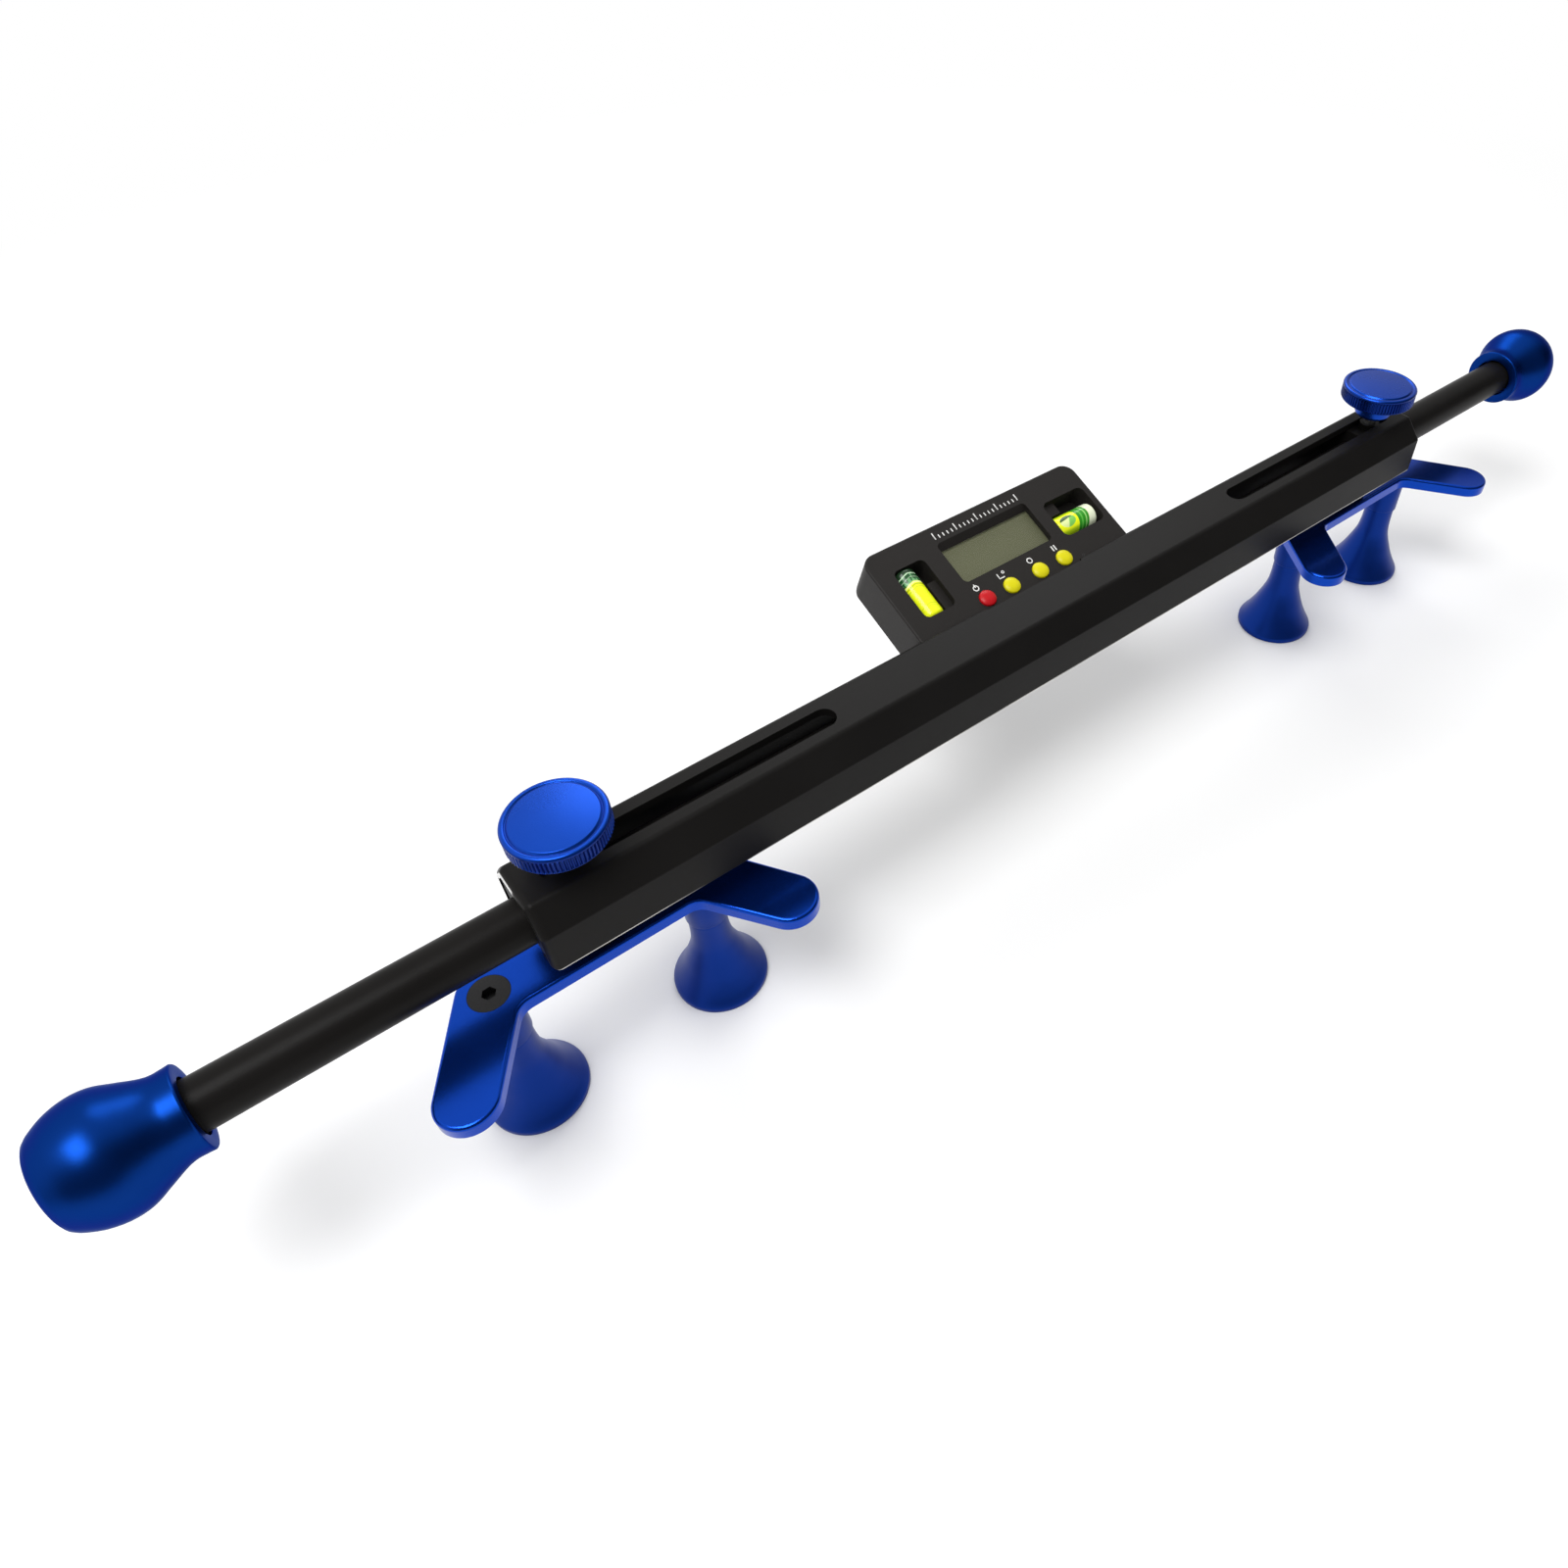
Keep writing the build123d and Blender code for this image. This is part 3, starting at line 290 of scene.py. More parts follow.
def plain_finish(name, colour, rough, specular=0.5):
    """One even colour with a trace of grain, for small and inner pieces."""
    finish = Finish(name)
    spot = finish.place()
    cloud = finish.noise(spot, 60.0, 3.0)
    speck = finish.noise(spot, 1800.0, 2.0)
    finish.set(Base_Color=finish.blend(cloud, darker(colour, 0.9), colour),
               Specular_IOR_Level=specular,
               Roughness=finish.between(cloud, rough - 0.03, rough + 0.03),
               Normal=finish.bump(speck, 0.12))
    return finish


def turned_metal_finish(name, colour, rough):
    """Machined metal with fine rings left by the lathe."""
    finish = Finish(name)
    spot = finish.place()
    ring = finish.noise(finish.stretched(spot, (1.0, 1.0, 30.0)), 300.0, 2.0)
    finish.set(Base_Color=finish.blend(ring, colour, darker(colour, 0.85)),
               Metallic=1.0, Roughness=finish.between(ring, rough, rough + 0.1))
    return finish


def clear_finish(name, colour, rough, amount):
    """Clear plastic, of which the amount says how much of its colour shows."""
    finish = Finish(name)
    cloud = finish.noise(finish.place(), 80.0, 2.0)
    finish.set(Base_Color=colour, Roughness=finish.between(cloud, rough, rough + 0.02),
               Alpha=amount)
    return finish


def vial_look(finish, colour):
    """The gloss of both vials' coloured liquid, and a slight painted glow in its own colour."""
    # The emission is a painted glow; the liquid is no lamp.
    finish.set(Base_Color=colour, Roughness=0.16, Specular_IOR_Level=0.35,
               Emission_Color=colour, Emission_Strength=0.10)
    return finish


def left_vial_finish():
    """Yellow liquid below, a dark green air space at the back end, ring marks. Heights
    are millimetres up the unit's face, and bow as rings do on a round tube. Painted
    highlights: lighter patches and pale arcs in the air space and a pale line at the
    meniscus. Painted shade: the yellow darkens towards the tube's sides."""
    finish = Finish("left_vial_liquid")
    beyond = 60.0
    spot = finish.place()
    along, up = unit_places(finish, spot)
    across = along - left_vial_x
    bow = up + abs(across) * 0.22 - 1.4
    # Noise for painted highlight patches of lighter green in the air space.
    air_highlight_noise = finish.noise(finish.stretched(spot, (1.0, 0.35, 0.35)), 900.0, 2.0)
    air_highlight_patch = finish.band(air_highlight_noise, 0.54, 1.0, 0.06)
    green = finish.blend(air_highlight_patch, rgba(0.010, 0.075, 0.018), rgba(0.16, 0.40, 0.17))
    # Painted highlights: pale arcs across the air space.
    arc = finish.band(bow, 26.0, 26.3, 0.12) + finish.band(bow, 24.4, 24.6, 0.12) * 0.5
    green = finish.blend(arc.clipped(), green, rgba(0.55, 0.72, 0.50))
    green = finish.blend(finish.band(bow, 26.7, beyond, 0.3), green, rgba(0.012, 0.035, 0.014))
    # Painted shade: the yellow darkens towards the tube's sides.
    middle = finish.band(abs(across), 0.0, 3.4, 0.6)
    yellow = finish.blend(middle, rgba(0.56, 0.66, 0.010), rgba(0.84, 0.93, 0.012))
    ring_marks = ((21.0, 21.3, 1.0), (19.9, 19.98, 0.8), (12.2, 12.3, 0.7), (11.3, 11.4, 0.4))
    marks = sum(finish.band(bow, low, high, 0.10) * share for low, high, share in ring_marks)
    yellow = finish.blend(marks.clipped() * 0.75, yellow, rgba(0.24, 0.30, 0.010))
    # Painted highlight: a pale line at the meniscus.
    yellow = finish.blend(finish.band(bow, 21.9, 22.3, 0.2), yellow, rgba(0.84, 0.88, 0.34))
    air_space = finish.band(bow, 22.6, beyond, 0.15)
    return vial_look(finish, finish.blend(air_space, yellow, green))


def right_vial_finish():
    """Yellow liquid with a bubble, green rings and a rounded white plug, by millimetres
    along the unit's face. Painted shade darkens the yellow towards the tube's sides, and
    the bubble has a painted highlight at its left and painted shade along its back."""
    finish = Finish("right_vial_liquid")
    beyond = 60.0
    along, up = unit_places(finish, finish.place())
    across = up - right_vial_up
    bow = along + across * across * 0.05
    # Painted shade: the yellow darkens towards the tube's sides.
    colour = finish.blend(finish.band(across, -2.9, 2.6, 0.8), rgba(0.42, 0.62, 0.012),
                          rgba(0.84, 0.92, 0.012))
    bubble_x, bubble_half_length, bubble_half_width = 32.6, 3.9, 2.5
    u = (along - bubble_x) * (1.0 / bubble_half_length)
    v = (across + 0.2) * (1.0 / bubble_half_width)
    bubble = finish.band(u * u + v * v, -1.0, 0.85, 0.15)
    # Painted highlight: the bubble's left part is pale.
    inside = finish.blend(finish.band(u - v * 0.4, -3.0, 0.12, 0.12), rgba(0.20, 0.55, 0.10),
                          rgba(0.72, 0.82, 0.36))
    # Painted shade: a dark green arc along the bubble's back.
    inside = finish.blend(finish.band(v - u * 0.2, 0.42, 3.0, 0.15), inside,
                          rgba(0.012, 0.07, 0.010))
    colour = finish.blend(bubble, colour, inside)
    green = rgba(0.03, 0.27, 0.02)
    rings = ((37.6, 38.9, 0.25, green), (39.6, 40.9, 0.25, green), (41.6, 42.6, 0.25, green),
             (39.0, 39.5, 0.15, rgba(0.10, 0.46, 0.06)),
             (41.1, 41.5, 0.15, rgba(0.26, 0.62, 0.18)),
             (42.9, beyond, 0.3, rgba(0.78, 0.84, 0.62)))
    for start, end, soft, tone in rings:
        colour = finish.blend(finish.band(bow, start, end, soft), colour, tone)
    return vial_look(finish, colour)


def screw_finish():
    """Black oxide on steel, a little mottled."""
    finish = Finish("black_oxide_screw")
    speck = finish.noise(finish.place(), 1500.0, 3.0)
    black = finish.blend(speck, rgba(0.008, 0.008, 0.009), rgba(0.022, 0.021, 0.022))
    finish.set(Base_Color=black, Metallic=0.3, Roughness=finish.between(speck, 0.36, 0.50),
               Specular_IOR_Level=0.35, Normal=finish.bump(speck, 0.1))
    return finish


blue = anodised_finish("blue_anodised", rgba(0.004, 0.048, 0.40), rgba(0.006, 0.060, 0.46),
                       rough=0.20, metallic=0.9, specular=0.3)
# The bells and spacers take the blue anodising in a darker colour, as painted shade.
painted_shade_blue = anodised_finish("painted_shade_blue_anodised", rgba(0.0022, 0.026, 0.22),
                            rgba(0.003, 0.034, 0.26), rough=0.36, metallic=0.8, specular=0.25)
# The handles take the blue anodising in a darker colour, as painted shade.
painted_shade_handle_blue = anodised_finish("painted_shade_handle_blue_anodised", rgba(0.0018, 0.027, 0.185),
                              rgba(0.0025, 0.033, 0.215), rough=0.33, metallic=0.92,
                              specular=0.25, grain=0.15)
# Painted shade: the rim tint darkens what the handles reflect at their edges.
painted_shade_handle_blue.set(Specular_Tint=rgba(0.34, 0.40, 0.62))
knob_blue = knob_finish()
rod_black = anodised_finish("rod_black_anodised", rgba(0.007, 0.0065, 0.006),
                            rgba(0.011, 0.010, 0.0095), rough=0.36, metallic=0.0,
                            specular=0.06)
finishes = {
    "black_anodised": bar_finish(),
    "rod_black": rod_black,
    "blue_anodised": blue,
    "steel": turned_metal_finish("plain_steel", rgba(0.55, 0.55, 0.56), 0.28),
    "screw_black": screw_finish(),
    "pad_brass": turned_metal_finish("turned_brass", rgba(0.70, 0.52, 0.22), 0.3),
    "bush_plastic": moulded_finish("bush_black", rgba(0.010, 0.010, 0.010), 0.55, 0.1),
    "black_plastic": moulded_finish("unit_black_plastic", rgba(0.017, 0.0150, 0.0138), 0.48,
                                    0.3),
    "button_red": plain_finish("button_red", rgba(0.53, 0.005, 0.010), 0.34, 0.25),
    "button_yellow": plain_finish("button_yellow", rgba(0.73, 0.67, 0.004), 0.34, 0.25),
    "clear_window": clear_finish("window_clear", rgba(0.16, 0.17, 0.10), 0.10, 0.15),
    "clear_acrylic": clear_finish("vial_clear", rgba(0.75, 0.9, 0.45), 0.05, 0.18),
    "vial_fluid": left_vial_finish(),
    "plug_white": right_vial_finish(),
    "display_grey": plain_finish("display_grey_green", rgba(0.150, 0.156, 0.090), 0.4, 0.2),
    "board_green": plain_finish("board_green", rgba(0.02, 0.12, 0.05), 0.4),
    "switch_black": plain_finish("switch_black", rgba(0.02, 0.02, 0.02), 0.4),
    "cell_steel": turned_metal_finish("cell_steel", rgba(0.6, 0.6, 0.6), 0.22),
}
marking_white = plain_finish("printed_white", rgba(0.78, 0.78, 0.76), 0.5)

slot_of = {entry["node"]: entry["material_slot"] for entry in frame["record"]["subparts"]}
for name, piece in frame["nodes"].items():
    piece.data.materials.clear()
    piece.data.materials.append(finishes[slot_of[name]].material)


# Ways of making a piece.

def rest():
    """Leaves edit mode and deselects everything."""
    if bpy.context.object and bpy.context.object.mode != "OBJECT":
        bpy.ops.object.mode_set(mode="OBJECT")
    bpy.ops.object.select_all(action="DESELECT")


def picked(piece):
    """Makes one piece the only one selected, and the active one."""
    rest()
    piece.select_set(True)
    bpy.context.view_layer.objects.active = piece


def ready_to_pick(kind):
    """Deselects the whole active mesh, of which corners or edges are then picked."""
    bpy.ops.object.mode_set(mode="EDIT")
    bpy.ops.mesh.select_mode(type=kind)
    bpy.ops.mesh.select_all(action="DESELECT")
    bpy.ops.object.mode_set(mode="OBJECT")


def rounded(corners, steps=4):
    """Corners of (radius, height, rounding), each with a rounding turned into an arc."""
    outline = []
    for index, corner in enumerate(corners):
        here = Vector(corner[:2])
        bend = corner[2] if len(corner) > 2 else 0
        if not bend:
            outline.append(tuple(here))
            continue
        before = Vector(corners[index - 1][:2])
        after = Vector(corners[index + 1][:2])
        start = here + (before - here).normalized() * bend
        end = here + (after - here).normalized() * bend
        for step in range(steps + 1):
            share = step / steps
            spot = (start * (1 - share) ** 2 + here * (2 * share * (1 - share))
                    + end * share ** 2)
            outline.append(tuple(spot))
    return outline


def flowing(points, steps=5):
    """A smooth line through points, for a curved outline."""
    spots = [Vector(point) for point in points]
    line = []
    for index in range(len(spots) - 1):
        a, b = spots[index], spots[index + 1]
        before = spots[index - 1] if index else a - (b - a)
        after = spots[index + 2] if index + 2 < len(spots) else b + (b - a)
        for step in range(steps):
            share = step / steps
            lead, trail = (b - before) / 2, (after - a) / 2
            spot = (a * (2 * share ** 3 - 3 * share ** 2 + 1)
                    + lead * (share ** 3 - 2 * share ** 2 + share)
                    + b * (3 * share ** 2 - 2 * share ** 3)
                    + trail * (share ** 3 - share ** 2))
            line.append(tuple(spot))
    line.append(tuple(spots[-1]))
    return line


def turned(name, outline, foot, axis=(0, 0, 1), steps=96):
    """Draws an outline of (radius, height) in millimetres point by point, then spins it."""
    rest()
    along = Vector(axis)
    outward = along.orthogonal().normalized()
    spots = [Vector(foot) + (outward * r + along * h) * MM for r, h in outline]
    bpy.ops.mesh.primitive_plane_add(size=MM, location=spots[0])
    piece = bpy.context.object
    piece.name = name
    bpy.ops.object.mode_set(mode="EDIT")
    bpy.ops.mesh.select_mode(type="VERT")
    bpy.ops.mesh.select_all(action="SELECT")
    bpy.ops.mesh.merge(type="CENTER")
    for here, there in zip(spots, spots[1:]):
        bpy.ops.mesh.extrude_region_move(TRANSFORM_OT_translate={"value": there - here})
    bpy.ops.mesh.select_all(action="SELECT")
    bpy.ops.mesh.spin(steps=steps, angle=math.tau, center=foot, axis=axis)
    bpy.ops.mesh.select_all(action="SELECT")
    bpy.ops.mesh.remove_doubles(threshold=0.003 * MM)
    bpy.ops.mesh.normals_make_consistent(inside=False)
    applied(piece)
    return piece


def applied(piece):
    """Puts a piece's place into its mesh, so that its object sits at the origin."""
    picked(piece)
    bpy.ops.object.transform_apply(location=True, rotation=True, scale=True)


def copied(piece, name, shift):
    """A copy of a piece, moved and with its own mesh."""
    picked(piece)
    bpy.ops.object.duplicate()
    twin = bpy.context.object
    twin.name = name
    bpy.ops.transform.translate(value=shift)
    applied(twin)
    return twin


def dressed(piece, body, finish, nodes, smooth):
    """Smooths a piece, gives it its finish, and seats it on its body."""
    picked(piece)
    bpy.ops.object.shade_smooth_by_angle(angle=math.radians(smooth))
    piece.data.materials.clear()
    piece.data.materials.append(finish.material)
    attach(piece, body)
    if nodes:
        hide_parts(*nodes)


def middle_of(node):
    low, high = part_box(node)
    return (low + high) / 2


# Thumbscrew heads.

def thumbscrew_head(name, foot):
    """Flat topped knob: hub, ribbed edge, narrow rim, and a ring groove round its top."""
    ribs, columns = 76, 4
    rib_low, rib_high = 11.55, 15.75
    valley_radius, rib_radius = 14.4, 15.05
    outline = rounded([
        (2.5, 3.6), (6.5, 3.6, 0.3), (7.6, 4.7, 0.5), (7.6, 10.7, 0.3), (14.3, 10.7, 0.3),
        (14.8, 11.2, 0.15), (14.8, rib_low - 0.15), (valley_radius, rib_low),
        (valley_radius, rib_high), (14.8, rib_high + 0.15), (15.1, 16.1, 0.12),
        (15.1, 16.7, 0.25), (14.5, 17.3, 0.3), (13.6, 17.3, 0.2), (13.2, 16.9, 0.12),
        (12.95, 16.9, 0.08), (12.45, 17.5, 0.15), (0, 17.5), (0, 11.6), (2.5, 11.6),
        (2.5, 3.6)], 3)
    knob = turned(name, outline, foot, steps=ribs * columns)
    ready_to_pick("VERT")
    for vertex in knob.data.vertices:
        x, y, height = (vertex.co - foot) / MM
        if rib_low - 0.01 < height < rib_high + 0.01:
            column = round(math.atan2(y, x) / math.tau * ribs * columns) % columns
            vertex.select = column < 2 and math.hypot(x, y) > 14.0
    bpy.ops.object.mode_set(mode="EDIT")
    swell = rib_radius / valley_radius
    bpy.ops.transform.resize(value=(swell, swell, 1.0), center_override=foot)
    applied(knob)
    return knob


for tag in ("left", "right"):
    middle = middle_of(f"thumbscrew_head_{tag}")
    head = thumbscrew_head(f"ribbed_thumbscrew_{tag}",
                           Vector((middle.x, middle.y, bar_high.z)))
    dressed(head, f"thumbscrew_{tag}", knob_blue,
            [f"thumbscrew_head_{tag}"], 30.0)


# Handles.

def bulb_handle(name, face, axis):
    """Turned bulb: collar with a counterbored mouth, waist, swell and flat tip."""
    bore_radius, bore_depth = 7.62, 23.5
    mouth_radius, mouth_depth = 8.4, 5.5
    swell = [(12.3, 0.5), (12.14, 2.6), (12.1, 5.0), (12.8, 7.7), (14.7, 12.0), (16.65, 16.7),
             (17.0, 21.3), (15.97, 26.0), (13.96, 30.0), (12.5, 31.8)]
    outline = [(0, bore_depth), (bore_radius, bore_depth), (bore_radius, mouth_depth),
               (mouth_radius, mouth_depth)]
    outline += rounded([(mouth_radius, mouth_depth), (mouth_radius, 0, 0.25), (12.0, 0, 0.3),
                        swell[0]], 3)[1:-1]
    outline += flowing(swell, 6)
    outline += rounded([swell[-1], (11.2, 32.5, 0.5), (10.0, 32.7)], 3)[1:]
    outline += [(5.0, 32.95), (0, 33.0)]
    return turned(name, outline, face, axis, 128)


for tag, side in (("left", -1), ("right", 1)):
    low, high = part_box(f"handle_{tag}")
    face_x = high.x if side < 0 else low.x
    middle = middle_of(f"handle_{tag}")
    handle = bulb_handle(f"bulb_handle_{tag}", Vector((face_x, middle.y, middle.z)),
                         (side, 0, 0))
    dressed(handle, "rod_and_handles", painted_shade_handle_blue, [f"handle_{tag}"], 30.0)


# Bell feet and their spacers.

bore_radius = 3.1
neck_radius = 6.5
bell_radius = 16.5


def bell_foot(name, foot, top):
    """Turned bell with a flat face, a small rim and a long flared neck."""
    neck, rim = top - 2.0, 1.8
    shares = [(0.0, 0.0), (0.20, 0.02), (0.355, 0.08), (0.49, 0.21), (0.61, 0.36), (0.72, 0.51),
              (0.81, 0.655), (0.89, 0.80), (0.95, 0.92), (0.985, 0.985), (1.0, 1.0)]
    flare = [(neck_radius + (bell_radius - neck_radius) * out, neck - (neck - rim) * down)
             for down, out in shares]
    outline = rounded([(bore_radius, top - 0.05), (bore_radius, top), (neck_radius, top, 0.3),
                       (neck_radius, neck)], 3)[:-1]
    outline += flowing(flare, 5)
    outline += rounded([(bell_radius, rim), (bell_radius, 0, 0.5), (0, 0)], 4)[1:]
    outline += [(0, top - 15.0), (bore_radius, top - 15.0), (bore_radius, top - 0.05)]
    return turned(name, outline, foot, steps=112)


def spacer_post(name, foot, tall):
    """Turned sleeve with eased edges, which leave a fine seam at the bell."""
    radius = 7.1
    return turned(name, rounded([
        (bore_radius, 0.4), (bore_radius, 0), (radius, 0, 0.35), (radius, tall, 0.35),
        (bore_radius, tall), (bore_radius, 0.4)], 3), foot)


def foot_and_height(node):
    """The middle of a node's lower face, and the node's height in millimetres."""
    low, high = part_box(node)
    middle = (low + high) / 2
    return Vector((middle.x, middle.y, low.z)), (high.z - low.z) / MM


first_foot, bell_height = foot_and_height("foot_left_a")
first_bell = bell_foot("bell_foot_left_a", first_foot, bell_height)
first_spacer = spacer_post("spacer_post_left_a", *foot_and_height("spacer_left_a"))
posts = {("left", "a"): (first_bell, first_spacer)}
for tag, post in (("left", "b"), ("right", "a"), ("right", "b")):
    shift = foot_and_height(f"foot_{tag}_{post}")[0] - first_foot
    posts[tag, post] = (copied(first_bell, f"bell_foot_{tag}_{post}", shift),
                        copied(first_spacer, f"spacer_post_{tag}_{post}", shift))
for (tag, post), (bell, spacer) in posts.items():
    for piece, node in ((bell, f"foot_{tag}_{post}"), (spacer, f"spacer_{tag}_{post}")):
        dressed(piece, f"bracket_{tag}_body", painted_shade_blue, [node], 35.0)


# Buttons and vials of the unit.

def dome_button(name, foot):
    """Round key with a low domed top, which starts below the unit's face."""
    radius, below = 3.3, -3.2
    return turned(name, rounded([(0, below), (radius, below), (radius, 0.55, 0.4),
                                 (2.5, 1.2, 0.8), (1.2, 1.5, 0.6), (0, 1.55)], 4),
                  foot, face_out, 64)


first_dome = dome_button("dome_button_power", on_unit(button_x["power"], button_up, 0))
domes = {"power": first_dome}
for word in ("unit", "zero", "hold"):
    shift = Vector((button_x[word] - button_x["power"], 0, 0)) * MM
    domes[word] = copied(first_dome, f"dome_button_{word}", shift)
for word, dome in domes.items():
    slot = "button_red" if word == "power" else "button_yellow"
    dressed(dome, f"{word}_key", finishes[slot], [f"button_{word}"], 50.0)


def vial(name, foot, axis, length):
    """A round tube with softly rounded ends."""
    return turned(name, rounded([(0, 0), (vial_radius, 0, 1.6), (vial_radius, length, 1.6),
                                 (0, length)], 6), foot, axis, 64)


left_vial = vial("vial_left_body", on_unit(left_vial_x, left_vial_up, vial_out), face_up,
                 left_vial_length)
dressed(left_vial, "frame", finishes["vial_fluid"],
        ["vial_left_tube", "vial_left_fluid", "vial_left_plug"], 60.0)
right_vial = vial("vial_right_body", on_unit(right_vial_x, right_vial_up, vial_out),
                  (1, 0, 0), right_vial_length)
dressed(right_vial, "frame", finishes["plug_white"],
        ["vial_right_tube", "vial_right_fluid", "vial_right_plug"], 60.0)


# Printed marks on the unit's face.

def printed_bar(name, x, up, width, height):
    """A small printed bar: a thin block with rounded corners, just proud of the face."""
    rest()
    bpy.ops.mesh.primitive_cube_add(size=1.0, location=on_unit(x, up, 0.01))
    bar = bpy.context.object
    bar.name = name
    bar.rotation_euler = (face_tilt, 0, 0)
    bar.scale = (width * MM, height * MM, 0.08 * MM)
    applied(bar)
    ready_to_pick("EDGE")
    for edge in bar.data.edges:
        a, b = [bar.data.vertices[index].co for index in edge.vertices]
        edge.select = abs((a - b).normalized().dot(face_out)) > 0.9
    bpy.ops.object.mode_set(mode="EDIT")
    bpy.ops.mesh.bevel(offset=min(width, height) * 0.3 * MM, segments=3)
    bpy.ops.object.mode_set(mode="OBJECT")
    return bar


def printed_ring(name, x, up, radius, wall):
    """A printed circle, as thin as the bars."""
    low, high = -0.03, 0.05
    return turned(name, [(radius - wall, low), (radius, low), (radius, high),
                         (radius - wall, high), (radius - wall, low)],
                  on_unit(x, up, 0), face_out, 48)


def joined(name, pieces):
    """Makes several pieces one, under a new name."""
    rest()
    for piece in pieces:
        piece.select_set(True)
    bpy.context.view_layer.objects.active = pieces[0]
    bpy.ops.object.join()
    pieces[0].name = name
    return pieces[0]


def repeated(piece, count, step):
    """Copies a piece along the unit in a row and makes the row its mesh."""
    picked(piece)
    row = piece.modifiers.new("row", "ARRAY")
    row.count = count
    row.use_relative_offset = False
    row.use_constant_offset = True
    row.constant_offset_displace = Vector((step, 0, 0)) * MM
    bpy.ops.object.modifier_apply(modifier=row.name)
    return piece


line = 0.42
sign_up = 10.3
scale_start = -20.0

# Each mark is placed along the unit's face and up it, in millimetres.
marks = [
    joined("printed_scale", [
        repeated(printed_bar("scale_short", scale_start, 35.0, 0.46, 1.5), 21, 2.0),
        repeated(printed_bar("scale_long", scale_start, 35.75, 0.50, 3.0), 5, 10.0)]),
    joined("printed_power_mark", [
        printed_ring("power_ring", -19.4, sign_up, 1.25, line),
        printed_bar("power_stroke", -19.4, sign_up + 1.0, line, 1.5)]),
    joined("printed_unit_mark", [
        printed_ring("degree_ring", -6.0, sign_up + 0.9, 0.65, 0.36),
        printed_bar("angle_stroke", -7.6, sign_up - 1.0, 2.6, line),
        printed_bar("angle_side", -8.7, sign_up, line, 2.4)]),
    printed_ring("printed_zero_mark", 6.6, sign_up, 1.25, line),
    joined("printed_hold_mark", [
        printed_bar("hold_stroke_a", 18.2, sign_up, 0.55, 2.4),
        printed_bar("hold_stroke_b", 19.5, sign_up, 0.55, 2.4)]),
]
for mark in marks:
    dressed(mark, "frame", marking_white, (), 30.0)

# A pin hole at the right of the buttons.
pin_hole = turned("face_pin_hole", [(0, -0.2), (0.55, -0.2), (0.55, 0.02), (0.4, 0.03),
                                    (0.3, -0.1), (0, -0.15)],
                  on_unit(27.7, 2.4, 0), face_out, 24)
dressed(pin_hole, "frame", finishes["switch_black"], (), 30.0)


# Studio.

def studio_floor():
    """A pale floor that keeps the shadow near the object and turns to white further off."""
    rest()
    bpy.ops.mesh.primitive_plane_add(size=14.0, location=(0, 0, 0))
    floor = bpy.context.object
    floor.name = "studio_floor"
    finish = Finish("studio_floor")
    finish.set(Base_Color=rgba(0.97, 0.97, 0.97), Roughness=0.9, Specular_IOR_Level=0.0)
    x, y, z = finish.split(finish.place())
    # Squares of distances from the middle, in metres.
    white_from, white_to, fading = 0.9, 400.0, 0.5
    far = finish.band(x * x + y * y, white_from, white_to, fading)
    glow = finish.node("ShaderNodeEmission", {}, {"Color": rgba(1, 1, 1), "Strength": 1.0})
    mix = finish.node("ShaderNodeMixShader", {}, {
        0: finish.rays("Camera", "Glossy", "Transmission") * far,
        1: Value(finish, finish.shader.outputs[0]), 2: glow})
    finish.feed(finish.surface.inputs["Surface"], mix)
    floor.data.materials.append(finish.material)


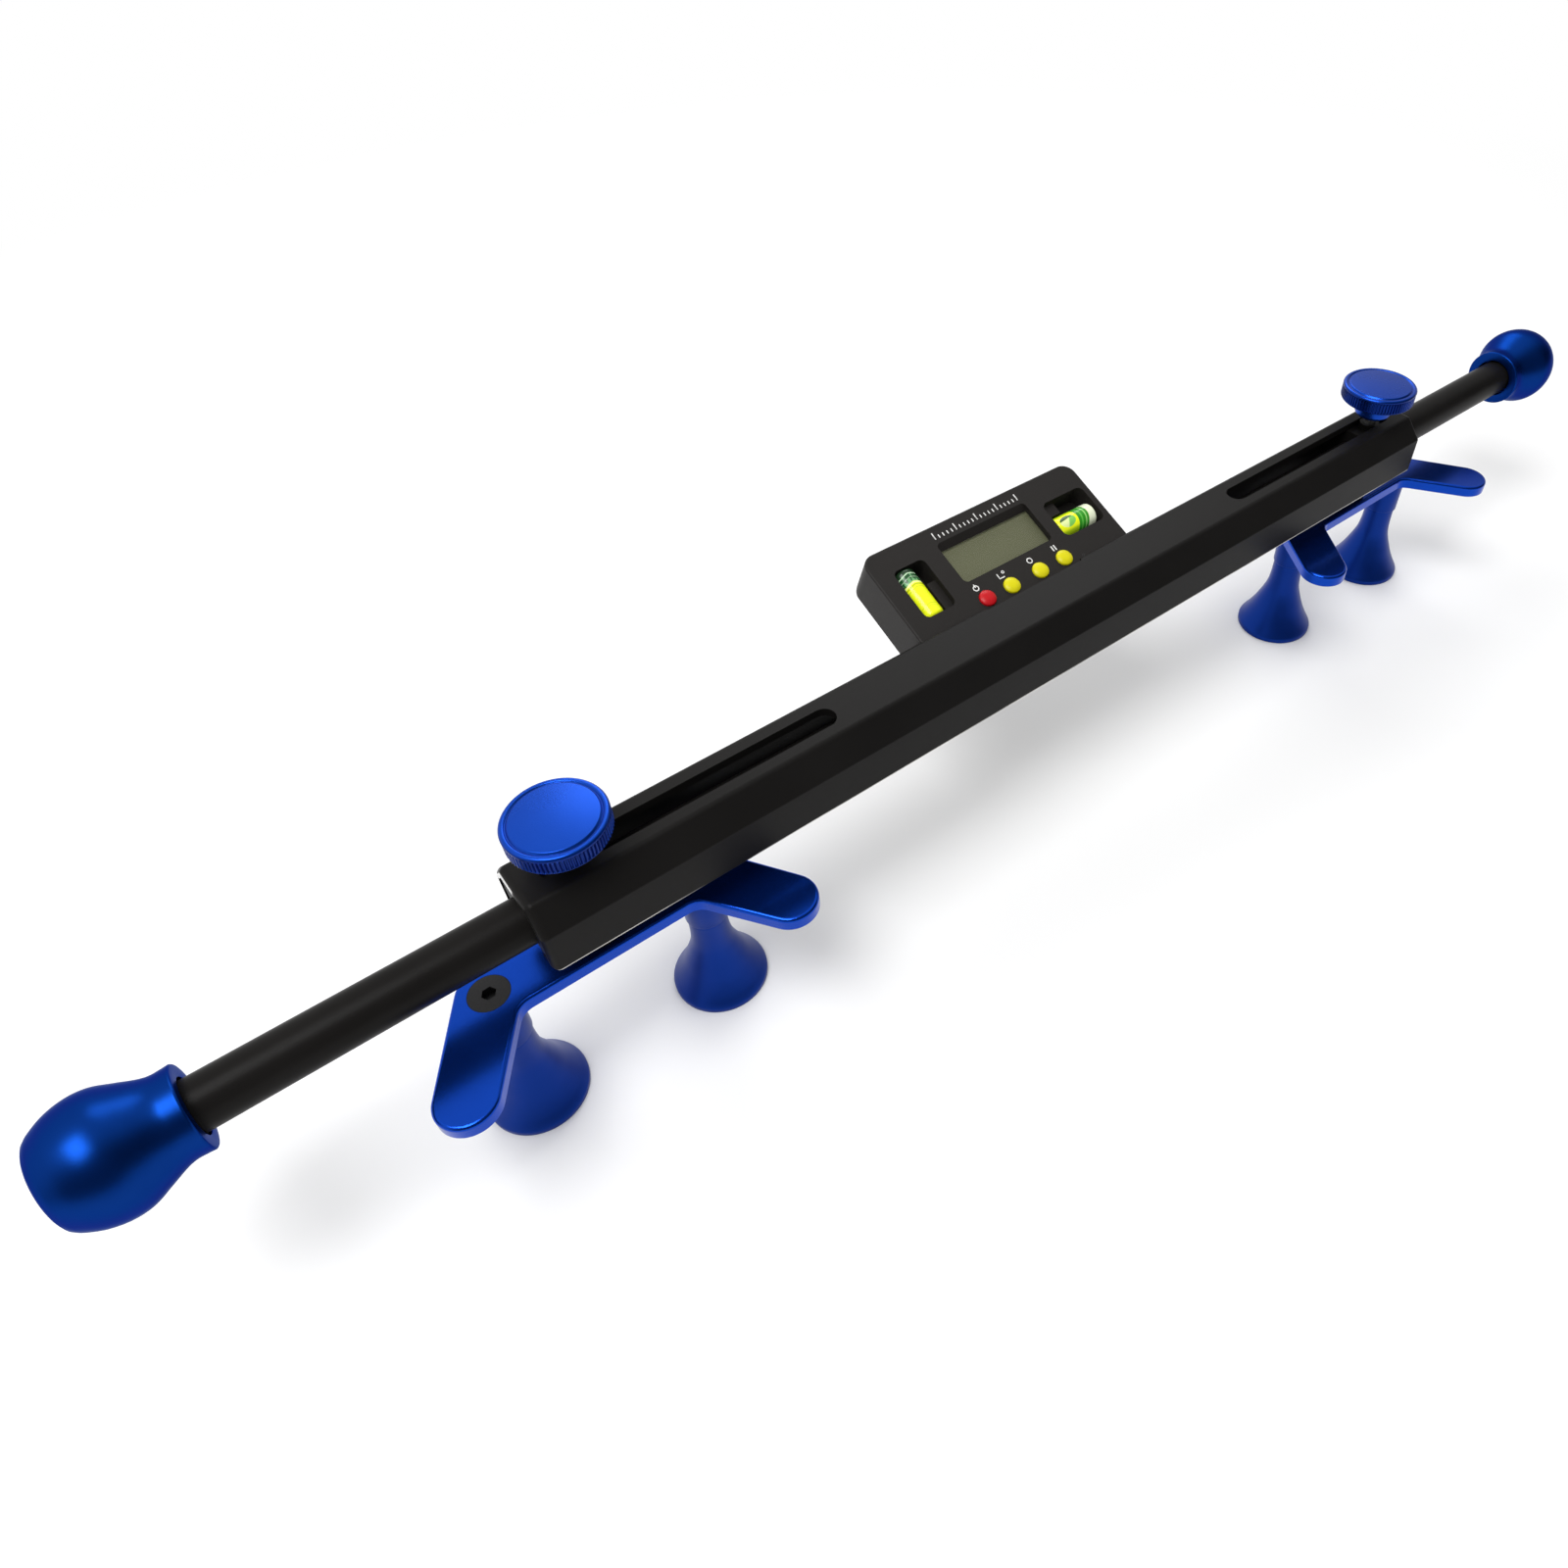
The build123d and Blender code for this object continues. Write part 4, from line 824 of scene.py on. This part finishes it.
def studio_air():
    """Soft even light, and white to look at. Gloss sees it dimmer in front of the object
    and a little dimmer at its right."""
    world = bpy.data.worlds.new("studio_air")
    bpy.context.scene.world = world
    world.use_nodes = True
    air = Tree(world.node_tree)
    x, y, z = air.split(air.node("ShaderNodeTexCoord", {}, {}, "Generated"))
    in_front = (y * -2.2 - 0.1).clipped()
    at_right = (x * 2.2 - 1.05).clipped()
    dimmed = (in_front * 0.88 + at_right * 0.5).clipped() * air.rays("Glossy")
    light = air.node("ShaderNodeBackground", {}, {"Color": rgba(1, 1, 1), "Strength": 0.55})
    white = air.node("ShaderNodeBackground", {},
                     {"Color": rgba(1, 1, 1), "Strength": 1.0 - dimmed})
    mix = air.node("ShaderNodeMixShader", {}, {
        0: air.rays("Camera", "Glossy", "Transmission"), 1: light, 2: white})
    air.made("ShaderNodeOutputWorld", {}, {"Surface": mix})


def lamp(name, place, size, power):
    """A soft rectangular lamp, aimed at the object."""
    data = bpy.data.lights.new(name, "AREA")
    data.shape = "RECTANGLE"
    data.size, data.size_y = size
    data.energy = power
    holder = bpy.data.objects.new(name, data)
    bpy.context.collection.objects.link(holder)
    holder.location = place
    aim = Vector((0, 0, 0.05)) - Vector(place)
    holder.rotation_euler = aim.to_track_quat("-Z", "Y").to_euler()


def photograph_camera():
    """Camera fitted to the photograph's edges, for a square image of 1600."""
    side = 1600.0
    focal, centre_x, centre_y = 1129.046, 953.803, 731.793
    turn, tip, roll = 0.676393, 0.781993, -0.006804
    film_width = 36.0
    place = Vector((-229.758, -217.463, 343.359)) * MM
    forward = Vector((math.sin(turn) * math.cos(tip), math.cos(turn) * math.cos(tip),
                      -math.sin(tip)))
    level = Vector((math.cos(turn), -math.sin(turn), 0))
    upward = level.cross(forward)
    right = level * math.cos(roll) + upward * math.sin(roll)
    up = upward * math.cos(roll) - level * math.sin(roll)
    data = bpy.data.cameras.new("photograph_camera")
    data.sensor_width = film_width
    data.sensor_fit = "HORIZONTAL"
    data.lens = focal * film_width / side
    data.shift_x = (side / 2 - centre_x) / side
    data.shift_y = (centre_y - side / 2) / side
    data.clip_start = 5.0 * MM
    camera = bpy.data.objects.new("photograph_camera", data)
    bpy.context.collection.objects.link(camera)
    turn_round = Matrix((right, up, -forward)).transposed().to_4x4()
    camera.matrix_world = Matrix.Translation(place) @ turn_round
    bpy.context.scene.camera = camera


studio_floor()
studio_air()
lamp("key_lamp", (-0.66, -0.17, 1.5), (0.9, 0.7), 16.0)
lamp("back_lamp", (0.7, 1.1, 1.2), (1.2, 0.7), 8.0)
photograph_camera()
bpy.context.scene.view_settings.view_transform = "Standard"
